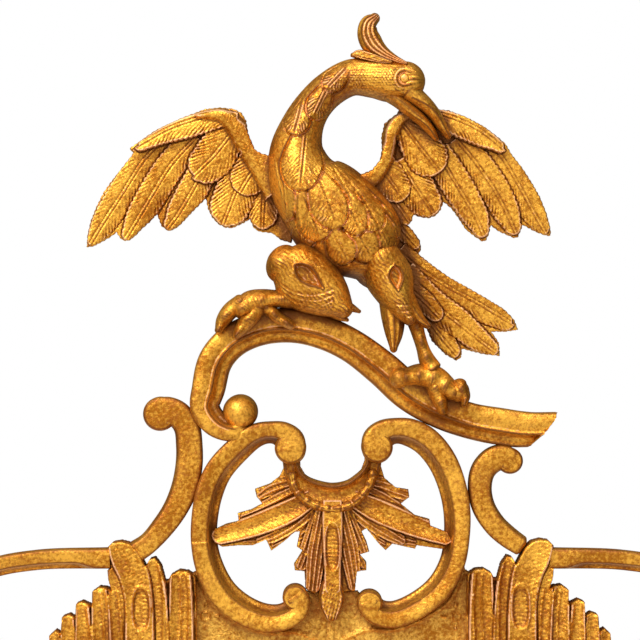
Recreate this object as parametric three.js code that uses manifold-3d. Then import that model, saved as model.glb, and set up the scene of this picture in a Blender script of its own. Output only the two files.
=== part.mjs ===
// A carved and gilded girandole mirror in the rococo manner: a framed plate that hangs on a wall, with a
// pierced crest of C-scrolls, a shell spray and a long-necked bird, scrolls at its sides and foot, and two
// candle arms.
// Millimetres. +Z is up, +X is the right of someone who looks at the mirror, and the front faces -Y.
// The origin is the middle of the top rail's back face, against the wall.
// "Out" is the distance of a point from that back face, towards the viewer.

import * as THREE from "three";
import { mergeVertices } from "three/addons/utils/BufferGeometryUtils.js";
import Module from "manifold-3d";

const wasm = await Module();
wasm.setup();

// ---------------------------------------------------------------------------------------------
// Driving dimensions
// ---------------------------------------------------------------------------------------------

// Frame and plate
const SIGHT_WIDTH = 400;
const SIGHT_HEIGHT = 620;
const RAIL_WIDTH = 50;
const RAIL_DEPTH = 26;
const LIP_DEPTH = 8;
const PLATE_REBATE = 8;
const PLATE_THICKNESS = 4;
const BOARD_REBATE = 20;
const BOARD_THICKNESS = 8;
const BOARD_PLAY = 0.5;
const PLATE_PLAY = 1;
const JOINT_GAP = 0.3;
const MOULDING_WIDTH = 14;
const MOULDING_HEIGHT = 10;

// Crest: its outlines are set out on a drawing, and one drawing unit is UNIT millimetres
const RING_WIDTH = 180;
const DRAWN_RING_WIDTH = 277;
const DRAWN_AXIS = 330;
const DRAWN_FOOT = 640;
const CREST_FOOT = 52;
const RIB_TAIL = 48;
const PANEL_DEPTH = 12;
const SCROLL_BACK = 6;
const RING_FRONT = 28;
const RAIL_SCROLL_FRONT = 30;
const FLANK_FRONT = 24;
const SPRAY_BACK = 8;
const SPRAY_GROUND = 16;
const SPRAY_FRONT = 24;
const SHELL_GROUND = 14;
const SHELL_FRONT = 27;
const BIRD_BACK = 4;
const WING_BACK = 10;
const WING_GROUND = 17;
const WING_FRONT = 24;
const BATTEN_WIDTH = 30;
const BATTEN_RISE = 60;
const BATTEN_THICKNESS = 8;
const BATTEN_OFFSET = 70;

// Scrolls and leaves round the frame
const SIDE_BAR = 14;
const SIDE_FRONT = 24;
const UPPER_SCROLL_LENGTH = 200;
const SIDE_LEAF_LENGTH = 76;
const SHOULDER_DROP = 62;
const CORNER_RISE = 118;
const CORNER_RUN = 134;
const APRON_LENGTH = 108;
const APRON_PETALS = 7;

// Candle arms
const BRACKET_RISE = 62;
const BRACKET_INSET = 18;
const ROSETTE_RADIUS = 17;
const ROSETTE_THICKNESS = 7;
const BRACKET_REACH = 32;
const EYE_RADIUS = 8;
const EYE_HEIGHT = 20;
const PIN_RADIUS = 3;
const PIN_PLAY = 0.3;
const ARM_REACH = 140;
const ARM_RISE = 44;
const ARM_TURN = THREE.MathUtils.degToRad(25);
const PAN_RADIUS = 36;
const NOZZLE_RADIUS = 14.5;
const NOZZLE_HEIGHT = 46;
const CANDLE_BORE = 11;
const CANDLE_DEPTH = 28;
const SPIGOT_RADIUS = 5;
const SPIGOT_HEIGHT = 4;

// Hangers and screws
const STRAP_WIDTH = 14;
const STRAP_THICKNESS = 2;
const STRAP_LENGTH = 36;
const STRAP_DROP = 60;
const STRAP_SCREW_DROP = 11;
const KNUCKLE_RADIUS = 4.2;
const WIRE_RADIUS = 1.6;
const WIRE_PLAY = 0.4;
const LOOP_WIDTH = 24;
const LOOP_LENGTH = 30;
const SCREW_RADIUS = 2;
const SCREW_HEAD_RADIUS = 4;
const SCREW_HEAD_HEIGHT = 1.8;
const SCREW_LENGTH = 14;
const SCREW_POINT = 3;
const BOARD_SCREW_INSET = 130;

// Worked out from the values above
const UNIT = RING_WIDTH / DRAWN_RING_WIDTH;
const FRAME_HALF = SIGHT_WIDTH / 2 + RAIL_WIDTH;
const FRAME_TOP = RAIL_WIDTH / 2;
const SIGHT_TOP = -RAIL_WIDTH / 2;
const SIGHT_BOTTOM = SIGHT_TOP - SIGHT_HEIGHT;
const FRAME_BOTTOM = SIGHT_BOTTOM - RAIL_WIDTH;
const LIP_BACK = RAIL_DEPTH - LIP_DEPTH;
const BOARD_FRONT = LIP_BACK - PLATE_THICKNESS;
const BOARD_BACK = BOARD_FRONT - BOARD_THICKNESS;
const RIB_FOOT = DRAWN_FOOT + (CREST_FOOT - FRAME_TOP) / UNIT + RIB_TAIL;
const CLEAR = 3 * RAIL_DEPTH;

// ---------------------------------------------------------------------------------------------
// Finishes
// ---------------------------------------------------------------------------------------------

const GILT = { color: 0xc8892c, roughness: 0.38, metalness: 0.8 };
const GILT_PALE = { color: 0xdba545, roughness: 0.34, metalness: 0.8 };
const GILT_DEEP = { color: 0xa9681f, roughness: 0.45, metalness: 0.75 };
const SILVERED_GLASS = { color: 0xdfe5e6, roughness: 0.03, metalness: 1 };
const PINE = { color: 0x9c7045, roughness: 0.8, metalness: 0 };
const BRASS = { color: 0xb08d4a, roughness: 0.4, metalness: 0.9 };
const IRON = { color: 0x5a5650, roughness: 0.55, metalness: 0.8 };

// ---------------------------------------------------------------------------------------------
// Sections: [across, out], across from -1 to 1 and out from 0 at the back to 1 at the front
// ---------------------------------------------------------------------------------------------

// A carved bar: a flat face on the outer side, a fillet, and a cove that falls to the inner side
const BAR = [[-1, 0], [-1, 0.6], [-0.7, 0.95], [0.05, 1], [0.22, 0.82], [0.6, 0.6], [1, 0.52], [1, 0]];
// A petal or a feather: a flat back and a low ridge
const PETAL = [[-1, 0], [-0.8, 0.65], [0, 1], [0.8, 0.65], [1, 0]];
// A rib: a flat back and a rounded front
const RIB = [[-1, 0], [-0.8, 0.62], [-0.3, 0.97], [0.3, 0.97], [0.8, 0.62], [1, 0]];

// A round section with the given number of sides
function round(sides) {
  return Array.from({ length: sides }, (_, i) => {
    const angle = (2 * Math.PI * i) / sides;
    return [Math.sin(angle), (1 - Math.cos(angle)) / 2];
  });
}

// ---------------------------------------------------------------------------------------------
// Solids
// ---------------------------------------------------------------------------------------------

// Makes a solid of a closed geometry: vertices are shared, triangles without area go, and faces point out
function toSolid(geometry) {
  geometry.deleteAttribute("normal");
  geometry.deleteAttribute("uv");
  const merged = mergeVertices(geometry, 1e-4);
  const positions = merged.getAttribute("position").array;
  const index = merged.index.array;
  const corners = [];
  for (let i = 0; i < index.length; i += 3) {
    const [a, b, c] = [index[i], index[i + 1], index[i + 2]];
    if (a !== b && b !== c && c !== a) corners.push([a, b, c]);
  }
  const point = (i) => new THREE.Vector3().fromArray(positions, 3 * i);
  const volume = corners.reduce((sum, [a, b, c]) => sum + point(a).dot(point(b).cross(point(c))), 0);
  const faces = volume < 0 ? corners.map(([a, b, c]) => [a, c, b]) : corners;
  const mesh = new wasm.Mesh({
    numProp: 3,
    vertProperties: Float32Array.from(positions),
    triVerts: Uint32Array.from(faces.flat()),
  });
  return new wasm.Manifold(mesh);
}

function toGeometry(solid) {
  const mesh = solid.getMesh();
  const geometry = new THREE.BufferGeometry();
  geometry.setAttribute("position", new THREE.Float32BufferAttribute(mesh.vertProperties, 3));
  geometry.setIndex(Array.from(mesh.triVerts));
  geometry.computeVertexNormals();
  return geometry;
}

function join(...solids) {
  return solids.flat(Infinity).reduce((whole, solid) => whole.add(solid));
}

// Keeps the largest body of a solid that a cut may have left in pieces
function largest(solid) {
  const bodies = solid.decompose();
  return bodies.reduce((best, body) => (body.volume() > best.volume() ? body : best));
}

// Cuts neighbours out of a solid, and keeps what is still one body
function cut(solid, ...neighbours) {
  return largest(neighbours.flat(Infinity).reduce((rest, neighbour) => rest.subtract(neighbour), solid));
}

// A box between two corners
function box(x0, x1, y0, y1, z0, z1) {
  const geometry = new THREE.BoxGeometry(x1 - x0, y1 - y0, z1 - z0);
  geometry.translate((x0 + x1) / 2, (y0 + y1) / 2, (z0 + z1) / 2);
  return toSolid(geometry);
}

// An outline of [x, z] points, as thick as back to front
function slab(outline, back, front) {
  const shape = new THREE.Shape(outline.map(([x, z]) => new THREE.Vector2(x, z)));
  const geometry = new THREE.ExtrudeGeometry(shape, { depth: front - back, bevelEnabled: false });
  geometry.rotateX(Math.PI / 2);
  geometry.translate(0, -back, 0);
  return toSolid(geometry);
}

// A solid turned about the vertical through the origin, from a profile of [radius, z] that starts and ends on it
function turned(profile, sides = 16) {
  const points = profile.map(([radius, z]) => new THREE.Vector2(radius, z));
  const geometry = new THREE.LatheGeometry(points, sides);
  geometry.rotateX(Math.PI / 2);
  return toSolid(geometry);
}

// The same, about a line towards the viewer through (x, z): the profile is [radius, out]
function button(x, z, profile, sides) {
  const points = profile.map(([radius, out]) => new THREE.Vector2(radius, out));
  const geometry = new THREE.LatheGeometry(points, sides);
  geometry.scale(1, -1, 1);
  geometry.translate(x, 0, z);
  return toSolid(geometry);
}

// The ball in the eye of a scroll: flat at the back and domed at the front
function ball([x, z, radius, back, front], grow = 0) {
  const wide = radius + grow;
  const high = front + grow;
  const low = back - grow;
  const rise = high - low;
  return button(x, z, [
    [0, low], [wide, low], [wide, low + 0.55 * rise], [0.75 * wide, low + 0.88 * rise], [0, high],
  ], 10);
}

// Runs a section along stations [x, z, half width, back, front]. Across is to the left of the direction of travel,
// or to its right with flip -1. grow makes the piece larger all round, so that a neighbour that is cut by it keeps
// a gap. refine is the number of steps between stations. Ends are rounded, or flat.
function loft(stations, section, { grow = 0, refine = 1, flip = 1, rounded = true } = {}) {
  const path = new THREE.CatmullRomCurve3(stations.map(([x, z, half]) => new THREE.Vector3(x, z, half)));
  const depths = new THREE.CatmullRomCurve3(
    stations.map(([, , , back, front]) => new THREE.Vector3(back, front, 0)),
  );
  const vertices = [];
  const ring = (t, ahead, scale) => {
    const { x, y: z, z: half } = path.getPoint(t);
    const { x: back, y: front } = depths.getPoint(t);
    const tangent = path.getTangent(t);
    const run = new THREE.Vector2(tangent.x, tangent.y).normalize();
    const step = ahead * half + Math.sign(ahead) * grow;
    const middle = (back + front) / 2;
    for (const [across, out] of section) {
      const offset = across * flip * (half + grow) * scale;
      const depth = back - grow + out * (front - back + 2 * grow);
      const drawnIn = middle + (depth - middle) * (0.5 + 0.5 * scale);
      vertices.push(x + run.x * step - run.y * offset, -drawnIn, z + run.y * step + run.x * offset);
    }
  };
  const steps = (stations.length - 1) * refine;
  if (rounded) ring(0, -0.6, 0.66);
  for (let i = 0; i <= steps; i += 1) ring(i / steps, 0, 1);
  if (rounded) ring(1, 0.6, 0.66);
  const sides = section.length;
  const rings = vertices.length / 3 / sides;
  const centre = (t, ahead) => {
    const { x, y: z, z: half } = path.getPoint(t);
    const { x: back, y: front } = depths.getPoint(t);
    const tangent = path.getTangent(t);
    const run = new THREE.Vector2(tangent.x, tangent.y).normalize();
    const step = ahead * half + Math.sign(ahead) * grow;
    vertices.push(x + run.x * step, -(back + 0.42 * (front - back)), z + run.y * step);
  };
  centre(0, rounded ? -0.9 : 0);
  centre(1, rounded ? 0.9 : 0);
  const first = rings * sides;
  const last = first + 1;
  const faces = [];
  for (let side = 0; side < sides; side += 1) {
    const next = (side + 1) % sides;
    for (let i = 0; i < rings - 1; i += 1) {
      const [a, b] = [i * sides + side, i * sides + next];
      faces.push(a, b, b + sides, a, b + sides, a + sides);
    }
    const end = (rings - 1) * sides;
    faces.push(first, next, side, last, end + side, end + next);
  }
  const geometry = new THREE.BufferGeometry();
  geometry.setAttribute("position", new THREE.Float32BufferAttribute(vertices, 3));
  geometry.setIndex(faces);
  return toSolid(geometry);
}

// A closed loop of round wire, along [x, z] points in the plane of the given out
function wireLoop(points, radius, out, sides = 6) {
  const path = new THREE.CatmullRomCurve3(points.map(([x, z]) => new THREE.Vector3(x, -out, z)), true);
  const steps = points.length * 2;
  const vertices = [];
  for (let i = 0; i < steps; i += 1) {
    const { x, y, z } = path.getPoint(i / steps);
    const tangent = path.getTangent(i / steps);
    for (let side = 0; side < sides; side += 1) {
      const angle = (2 * Math.PI * side) / sides;
      const offset = radius * Math.cos(angle);
      vertices.push(x - tangent.z * offset, y + radius * Math.sin(angle), z + tangent.x * offset);
    }
  }
  const faces = [];
  for (let i = 0; i < steps; i += 1) {
    const ahead = (i + 1) % steps;
    for (let side = 0; side < sides; side += 1) {
      const next = (side + 1) % sides;
      const [a, b, c, d] = [i * sides + side, i * sides + next, ahead * sides + next, ahead * sides + side];
      faces.push(a, b, c, a, c, d);
    }
  }
  const geometry = new THREE.BufferGeometry();
  geometry.setAttribute("position", new THREE.Float32BufferAttribute(vertices, 3));
  geometry.setIndex(faces);
  return toSolid(geometry);
}

// ---------------------------------------------------------------------------------------------
// From the drawing to millimetres
// ---------------------------------------------------------------------------------------------

function at(x, y) {
  return [(x - DRAWN_AXIS) * UNIT, CREST_FOOT + (DRAWN_FOOT - y) * UNIT];
}

// Rows [x, y, half width], with their own back and front where a row has them
function drawn(back, front, rows) {
  return rows.map(([x, y, half, ownBack = back, ownFront = front]) => {
    return [...at(x, y), half * UNIT, ownBack, ownFront];
  });
}

function drawnBall(x, y, radius, back, front, grow) {
  return ball([...at(x, y), radius * UNIT, back, front], grow);
}

// Moves each side of an outline of [x, z] points outwards
function outset(outline, grow) {
  const points = outline.map(([x, z]) => new THREE.Vector2(x, z));
  const sense = Math.sign(THREE.ShapeUtils.area(points));
  return points.map((point, i) => {
    const before = points[(i + points.length - 1) % points.length];
    const after = points[(i + 1) % points.length];
    const [come, go] = [point.clone().sub(before).normalize(), after.clone().sub(point).normalize()];
    const out = new THREE.Vector2(come.y + go.y, -come.x - go.x).normalize();
    const miter = Math.max(0.5, out.dot(new THREE.Vector2(go.y, -go.x)));
    return [point.x + (sense * out.x * grow) / miter, point.y + (sense * out.y * grow) / miter];
  });
}

function drawnSlab(back, front, outline, grow = 0) {
  const points = outline.map(([x, y]) => at(x, y));
  return slab(outset(points, grow), back - grow, front + grow);
}

// A fan of petals or feathers, each a list of drawn rows
function drawnFan(back, front, petals, section, options) {
  return join(petals.map((rows) => loft(drawn(back, front, rows), section, options)));
}

// Everything below the top rail's upper face is cut off the crest, which stands on it
const belowCrest = box(-FRAME_HALF, FRAME_HALF, -CLEAR, CLEAR, FRAME_TOP - CLEAR, FRAME_TOP);

// ---------------------------------------------------------------------------------------------
// Crest scrolls
// ---------------------------------------------------------------------------------------------

// The long S-shaped rail that the bird stands on, with its ball at the left and a broken end at the right
function swanNeck(grow = 0) {
  const rows = [
    [247, 428, 9], [233, 431, 11], [216, 424, 13], [205, 408, 14.5], [208.5, 388, 16.5], [214, 364, 17],
    [222, 351, 17], [234, 340, 17], [251, 331.5, 17], [272, 326, 17.5], [298.5, 326.5, 17], [326, 333.5, 17],
    [352.5, 346.5, 17], [382.5, 369, 18], [409, 392.5, 18], [437.5, 409, 18], [470, 421, 17.5],
    [501.5, 427, 18], [530, 430, 17], [556, 430, 17],
  ];
  const bar = loft(drawn(SCROLL_BACK, RAIL_SCROLL_FRONT, rows), BAR, { grow, flip: -1 });
  const eye = drawnBall(240.4, 411.8, 17, SCROLL_BACK, RAIL_SCROLL_FRONT + 2, grow);
  const broken = drawnSlab(-CLEAR, CLEAR, [
    [555, 405], [555, 412], [550, 427], [536, 436], [527, 446], [524, 470], [620, 470], [620, 405],
  ]);
  return join(bar, eye).subtract(grow ? broken.translate(grow, 0, -grow) : broken);
}

function ringLeft(grow = 0) {
  const rows = [
    [272, 433, 10.5], [256, 436, 11], [235.5, 450, 12], [217.5, 471.5, 12.5], [208, 494, 12.5],
    [204, 518.5, 12.5], [204, 543, 12.5], [210, 568, 13.5], [224, 594, 14], [245, 611, 14], [267, 618, 13.5],
    [287, 617, 12.5], [300, 606, 10],
  ];
  const bar = loft(drawn(SCROLL_BACK, RING_FRONT, rows), BAR, { grow, refine: 2 });
  const head = drawnBall(290.5, 448, 16, SCROLL_BACK, RING_FRONT + 2, grow);
  const foot = drawnBall(295, 597, 12.5, SCROLL_BACK, RING_FRONT + 1, grow);
  return join(bar, head, foot);
}

function ringRight(grow = 0) {
  const rows = [
    [395, 431, 12], [411, 433, 14], [428, 442, 14], [443, 461, 13.5], [453, 485, 13], [457.5, 510, 13],
    [457, 537, 12.5], [452, 563, 12.5], [438, 588, 13], [416, 605.5, 13], [394, 614.5, 12.5], [374, 613, 11],
  ];
  const bar = loft(drawn(SCROLL_BACK, RING_FRONT, rows), BAR, { grow, refine: 2, flip: -1 });
  const head = drawnBall(377, 447, 16, SCROLL_BACK, RING_FRONT + 2, grow);
  const foot = drawnBall(369.5, 603, 13, SCROLL_BACK, RING_FRONT + 1, grow);
  return join(bar, head, foot);
}

function flankLeft() {
  const rows = [
    [178, 411, 14], [188, 427, 12.5], [190.5, 447, 11.5], [190.5, 467, 11.5], [186, 489, 11.5],
    [176, 510, 11.5], [162, 527, 12], [146, 543, 11.5], [136, 552, 11],
  ];
  const bar = loft(drawn(SCROLL_BACK, FLANK_FRONT, rows), BAR, { refine: 2, flip: -1 });
  return join(bar, drawnBall(160, 414, 17, SCROLL_BACK, FLANK_FRONT + 2));
}

function flankRight() {
  const rows = [
    [495, 460, 13], [483, 471, 12], [480, 488, 11.5], [484, 507, 11.5], [495, 525, 11.5], [508, 537, 11],
    [521, 546, 10],
  ];
  const bar = loft(drawn(SCROLL_BACK, FLANK_FRONT, rows), BAR, { refine: 2 });
  return join(bar, drawnBall(510, 461, 13, SCROLL_BACK, FLANK_FRONT + 2));
}

// ---------------------------------------------------------------------------------------------
// Crest panel, spray and shoulders
// ---------------------------------------------------------------------------------------------

function crestPanel() {
  return drawnSlab(0, PANEL_DEPTH, [
    [170, RIB_FOOT], [172, 600], [180, 580], [196, 572], [204, 543], [210, 568], [224, 594], [245, 611],
    [267, 618], [287, 617], [300, 606], [306, 592], [358, 592], [366, 605], [374, 613], [394, 614.5],
    [416, 605.5], [438, 588], [452, 563], [457, 537], [466, 571], [480, 578], [488, 600], [490, RIB_FOOT],
  ]);
}

// The right half of a shape that is drawn on the left, in the ring's middle line
const RING_AXIS = 332;
function mirroredRows(rows) {
  return rows.map(([x, y, ...rest]) => [2 * RING_AXIS - x, y, ...rest]);
}

// The fluted shell that hangs in the ring: a thin ground cut to ragged tips, with a saddle, petals each side
// and a long middle tongue on it
function shellSpray(grow = 0) {
  const halfGround = [
    [332, 486], [317, 484], [306, 478], [300, 468], [284, 467], [279, 477], [270, 484], [255, 490],
    [262, 504],
    [251, 510], [237, 514], [238, 521], [216, 529], [206.5, 533], [209, 541], [222, 545], [252, 543],
    [266, 536],
    [270, 549], [283, 540], [295, 530], [300, 533], [297, 547], [302, 551], [294, 565], [296, 572],
    [304, 573],
    [305, 589], [316, 592], [332, 592],
  ];
  const saddle = [
    [292, 472, 7], [303, 484, 9], [318, 492, 11], [333, 494, 12], [350, 491, 11], [362, 482, 9],
    [372, 470, 7],
  ];
  const side = [
    [[298, 480, 9], [278, 488, 8], [261, 493, 5]],
    [[300, 494, 10], [272, 505, 9], [244, 516, 4]],
    [[308, 510, 11], [270, 525, 10], [216, 536, 5]],
    [[318, 520, 9], [297, 535, 7], [280, 541, 4]],
    [[320, 520, 9], [309, 555, 8], [306, 580, 5]],
  ];
  const middle = [[332, 500, 16], [332, 540, 17], [332, 575, 14], [332, 588, 12]];
  const ground = drawnSlab(
    SPRAY_BACK,
    SPRAY_GROUND,
    [...halfGround, ...mirroredRows(halfGround).slice(1, -1).reverse()],
    grow,
  );
  const saddleBar = loft(drawn(SPRAY_BACK, SPRAY_FRONT, saddle), RIB, { grow });
  const tongue = loft(drawn(SPRAY_BACK, SPRAY_FRONT + 2, middle), RIB, { grow });
  const left = drawnFan(SPRAY_BACK + 1, SPRAY_FRONT, side, PETAL, { grow });
  const right = drawnFan(SPRAY_BACK + 1, SPRAY_FRONT, side.map(mirroredRows), PETAL, { grow });
  return join(ground, saddleBar, tongue, left, right);
}

function pendantLeaf() {
  const rows = [[332, 592, 12], [332, 604, 13], [332, 615, 8], [332, 620, 4]];
  return loft(drawn(PANEL_DEPTH + JOINT_GAP, SPRAY_FRONT, rows), PETAL);
}

// A shoulder: a ground board with ribs that end in curled tips, the widest of them rolled over like a wave
function shoulder(ground, ribs, curl, medallion, grow = 0) {
  const board = drawnSlab(0, SHELL_GROUND, ground, grow);
  const standing = ribs.map(([foot, ...rows]) => {
    const stations = drawn(SHELL_GROUND - 6, SHELL_FRONT, [[foot[0], RIB_FOOT, foot[1]], ...rows]);
    return loft(stations, RIB, { grow });
  });
  const wave = loft(drawn(SHELL_GROUND - 6, SHELL_FRONT + 3, curl), RIB, { grow });
  const [x, y, half, tall] = medallion;
  const oval = loft(
    drawn(SHELL_GROUND, SHELL_FRONT + 4, [[x, y + tall - half, half], [x, y - tall + half, half]]),
    RIB,
    { grow, refine: 3 },
  );
  return join(board, standing, wave, oval);
}

function shoulderLeft(grow = 0) {
  const ground = [
    [197, RIB_FOOT], [196, 577], [178, 579], [166, 586], [156, 566], [143, 568], [127, 562],
    [113, 574], [106, 587], [92, 598], [85, 611], [72, 614], [60, 628], [51, 650], [48, RIB_FOOT],
  ];
  const ribs = [
    [[185, 9], [186, 600, 9], [184, 580, 8]],
    [[160, 10], [157, 600, 9], [155, 570, 7]],
    [[118, 9], [114, 600, 8], [111, 582, 6]],
    [[98, 9], [97, 612, 8], [95, 597, 6]],
    [[80, 9], [78, 627, 8], [76, 610, 6]],
    [[60, 9], [58, 642, 8], [56, 626, 6]],
  ];
  const curl = [[142, RIB_FOOT, 14], [140, 600, 14], [134, 574, 14], [125, 556, 11], [115, 552, 7]];
  return shoulder(ground, ribs, curl, [142, 609, 8, 23], grow);
}

function shoulderRight(grow = 0) {
  const ground = [
    [465, RIB_FOOT], [466, 575], [478, 573], [490, 580], [504, 563], [515, 565], [535, 556],
    [547, 568], [552, 587], [565, 595], [575, 609], [590, 614], [602, 628], [611, 650], [614, RIB_FOOT],
  ];
  const ribs = [
    [[475, 9], [474, 600, 9], [477, 578, 8]],
    [[497, 10], [500, 600, 9], [505, 566, 7]],
    [[541, 9], [545, 600, 8], [547, 577, 6]],
    [[561, 9], [561, 607, 8], [563, 592, 6]],
    [[580, 9], [582, 624, 8], [584, 608, 6]],
    [[600, 9], [602, 642, 8], [604, 626, 6]],
  ];
  const curl = [[518, RIB_FOOT, 14], [520, 600, 14], [526, 570, 13], [533, 551, 11], [541, 545, 7]];
  return shoulder(ground, ribs, curl, [514.5, 612, 8, 22], grow);
}

// ---------------------------------------------------------------------------------------------
// The bird
// ---------------------------------------------------------------------------------------------

// Head, neck and body in one carved block, with the beak and the eye
function birdBody(grow = 0) {
  const trunk = [
    [410, 84, 13, 24, 46], [398, 82, 19, 21, 49], [376, 80, 18, 20, 48], [352, 77, 18, 19, 46],
    [328, 89, 18, 17, 46], [312, 107, 19.5, 15, 46], [303, 128, 22, 13, 48], [299, 150, 29, 10, 50],
    [305, 178, 38, 6, 54], [323, 206, 46, BIRD_BACK, 56], [342, 232, 44, BIRD_BACK, 56],
    [357, 254, 33, 6, 52], [366, 268, 18, 12, 44],
  ];
  const upperBeak = [[412, 98, 8], [430, 113, 7], [441, 127, 5.5], [447, 137, 3]];
  const lowerBeak = [[400, 104, 6], [416, 116, 5.5], [431, 128, 4.5], [438, 138, 2.5]];
  return join(
    loft(drawn(0, 0, trunk), round(12), { grow }),
    loft(drawn(26, 44, upperBeak), round(6), { grow }),
    loft(drawn(26, 40, lowerBeak), round(6), { grow }),
    loft(drawn(14, 34, [[386, 214, 12], [402, 230, 9], [412, 241, 6]]), PETAL, { grow }),
    drawnBall(403.4, 80.4, 9, 40, 51, grow),
  );
}

function birdComb() {
  const tall = [[408, 66, 5], [396, 62, 7], [380, 54, 9.5], [370, 43, 10.5], [368, 30, 9], [373, 22, 6]];
  const low = [[357, 57, 5], [368, 58, 7], [381, 62, 6], [392, 66, 4]];
  return join(
    loft(drawn(28, 42, tall), RIB, { refine: 2 }),
    loft(drawn(26, 40, low), RIB),
  );
}

// A wing: a thin ground cut to the feathers' tips, with long flight feathers, shorter ones towards the body,
// coverts over their roots and the arm that joins the body
function wing(outline, flight, coverts, arm, flip) {
  return join(
    drawnSlab(WING_BACK, WING_GROUND, outline),
    drawnFan(WING_BACK + 1, WING_FRONT, flight, PETAL),
    drawnFan(WING_BACK + 2, WING_FRONT + 6, coverts, PETAL),
    loft(drawn(WING_BACK + 3, WING_FRONT + 11, arm), RIB, { flip }),
  );
}

function wingLeft() {
  const outline = [
    [290, 160], [262, 154], [255, 150], [247, 133], [244, 120], [233, 110], [220, 108], [205, 111],
    [182, 120.5], [156, 133], [130, 149], [134, 154], [118, 172], [103, 192], [90, 221], [86, 247], [99, 243],
    [116, 232], [123, 240.5], [129, 240.5], [141, 229], [156, 214], [168, 231], [180, 225], [195, 208.5],
    [205, 198], [208, 208.5], [218, 224], [232, 228], [249, 219], [254, 228], [264, 232], [280, 229],
    [300, 200],
  ];
  const flight = [
    [[166, 140, 11], [145, 165, 11], [118, 200, 10], [96, 234, 5]],
    [[188, 143, 11], [168, 170, 11], [148, 200, 10], [131, 229, 5]],
    [[210, 152, 11], [198, 178, 11], [184, 200, 10], [172, 221, 5]],
    [[240, 172, 13], [236, 190, 15], [230, 211, 10]],
    [[264, 182, 11], [262, 203, 12], [262, 219, 8]],
  ];
  const coverts = [
    [[236, 123, 11], [213, 122, 12], [184, 133, 12], [146, 147, 5]],
    [[236, 130, 12], [222, 142, 16], [202, 168, 11]],
    [[258, 154, 12], [252, 168, 14], [245, 187, 8]],
  ];
  const arm = [[290, 178, 20], [275, 172, 18], [260, 160, 14], [247, 142, 11], [236, 125, 13], [226, 120, 9]];
  return wing(outline, flight, coverts, arm, -1);
}

function wingRight() {
  const outline = [
    [420, 108], [435, 108.5], [450, 110], [466, 117], [485, 127], [497, 135.5], [506, 143.5], [523, 168],
    [532, 182], [540, 196], [547, 213], [551.5, 235], [541, 233.5], [523.5, 224.5], [518.5, 237], [508, 235],
    [491, 225], [487, 240], [474, 235.5], [466, 229], [452, 209], [444, 201.5], [441, 210], [429, 218],
    [413.5, 214.5], [412, 221], [407, 226.5], [385, 226], [350, 200], [350, 176], [360, 175], [372, 170],
    [380, 160], [382, 150], [381.5, 136], [384.5, 123], [397.5, 113],
  ];
  const flight = [
    [[492, 140, 9], [506, 158, 11], [524, 187, 11], [542, 224, 5]],
    [[468, 145, 11], [481, 168, 12], [497, 196, 11], [512, 226, 5]],
    [[442, 152, 11], [453, 177, 12], [466, 200, 11], [480, 230, 5]],
    [[408, 168, 12], [418, 188, 13], [430, 208, 7]],
    [[388, 190, 10], [404, 214, 7]],
  ];
  const coverts = [
    [[430, 116, 6], [450, 125, 11], [472, 134, 12], [494, 143, 6]],
    [[403, 128, 13], [416, 144, 16], [430, 162, 10]],
    [[378, 168, 9], [388, 180, 12], [393, 186, 8]],
  ];
  const arm = [[362, 186, 12], [374, 176, 9], [386, 160, 8], [390, 140, 8], [396, 124, 9], [408, 117, 8]];
  return wing(outline, flight, coverts, arm, 1);
}

function tail() {
  const feathers = [
    [[396, 250, 14], [430, 275, 16], [460, 295, 16], [490, 313, 14], [505, 322, 8]],
    [[404, 268, 14], [436, 302, 16], [462, 324, 16], [482, 340, 12], [490, 347, 7]],
    [[404, 290, 11], [430, 324, 13], [446, 342, 11], [454, 350, 6]],
  ];
  return drawnFan(8, 24, feathers, PETAL);
}

// A leg: a feathered thigh, a short shank and a foot whose toes grip the rail
function legLeft(grow = 0) {
  const thigh = [[286, 264, 20], [297, 268, 27], [311, 282, 31], [332, 299, 21], [345, 310, 10]];
  const palm = [[290, 300, 9], [276, 299, 9], [264, 300, 11], [250, 303, 12], [242, 309, 10]];
  const toes = [
    [[240, 300, 8], [228, 309, 8], [221, 320, 7], [218, 329, 4]],
    [[258, 308, 9], [250, 318, 9], [241, 329, 7], [237, 335, 4]],
    [[268, 308, 7], [279, 318, 6], [291, 325, 5]],
  ];
  return join(
    loft(drawn(22, 56, thigh), round(10), { grow }),
    loft(drawn(24, 44, palm), round(8), { grow }),
    drawnFan(26, 42, toes, round(6), { grow }),
  );
}

function legRight(grow = 0) {
  const thigh = [[382, 260, 20], [389, 278, 24], [397, 298, 18], [405, 313, 11], [411, 320, 7]];
  const tuft = [[384, 296, 9], [390, 320, 9], [393, 338, 8], [392, 348, 5]];
  const shank = [[409, 312, 8], [413, 324, 7], [418, 340, 7], [423, 356, 8], [428, 368, 10]];
  const palm = [[408, 375, 9], [420, 373, 11], [434, 376, 13], [450, 387, 11]];
  const toe = [[432, 380, 10], [438, 396, 9], [442, 409, 6]];
  return join(
    loft(drawn(20, 54, thigh), round(10), { grow }),
    loft(drawn(22, 40, tuft), RIB, { grow }),
    loft(drawn(24, 42, shank), round(6), { grow }),
    loft(drawn(20, 44, palm), round(8), { grow }),
    loft(drawn(26, 42, toe), round(6), { grow }),
    drawnBall(401, 376, 11, 22, 42, grow),
    drawnBall(460, 388, 12, 20, 42, grow),
  );
}

// ---------------------------------------------------------------------------------------------
// The frame
// ---------------------------------------------------------------------------------------------

// Section of the frame's members: [distance from the sight edge, out]
const MEMBER = [
  [0, LIP_BACK], [0, RAIL_DEPTH], [RAIL_WIDTH, RAIL_DEPTH], [RAIL_WIDTH, 0],
  [BOARD_REBATE, 0], [BOARD_REBATE, BOARD_FRONT], [PLATE_REBATE, BOARD_FRONT], [PLATE_REBATE, LIP_BACK],
];

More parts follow.
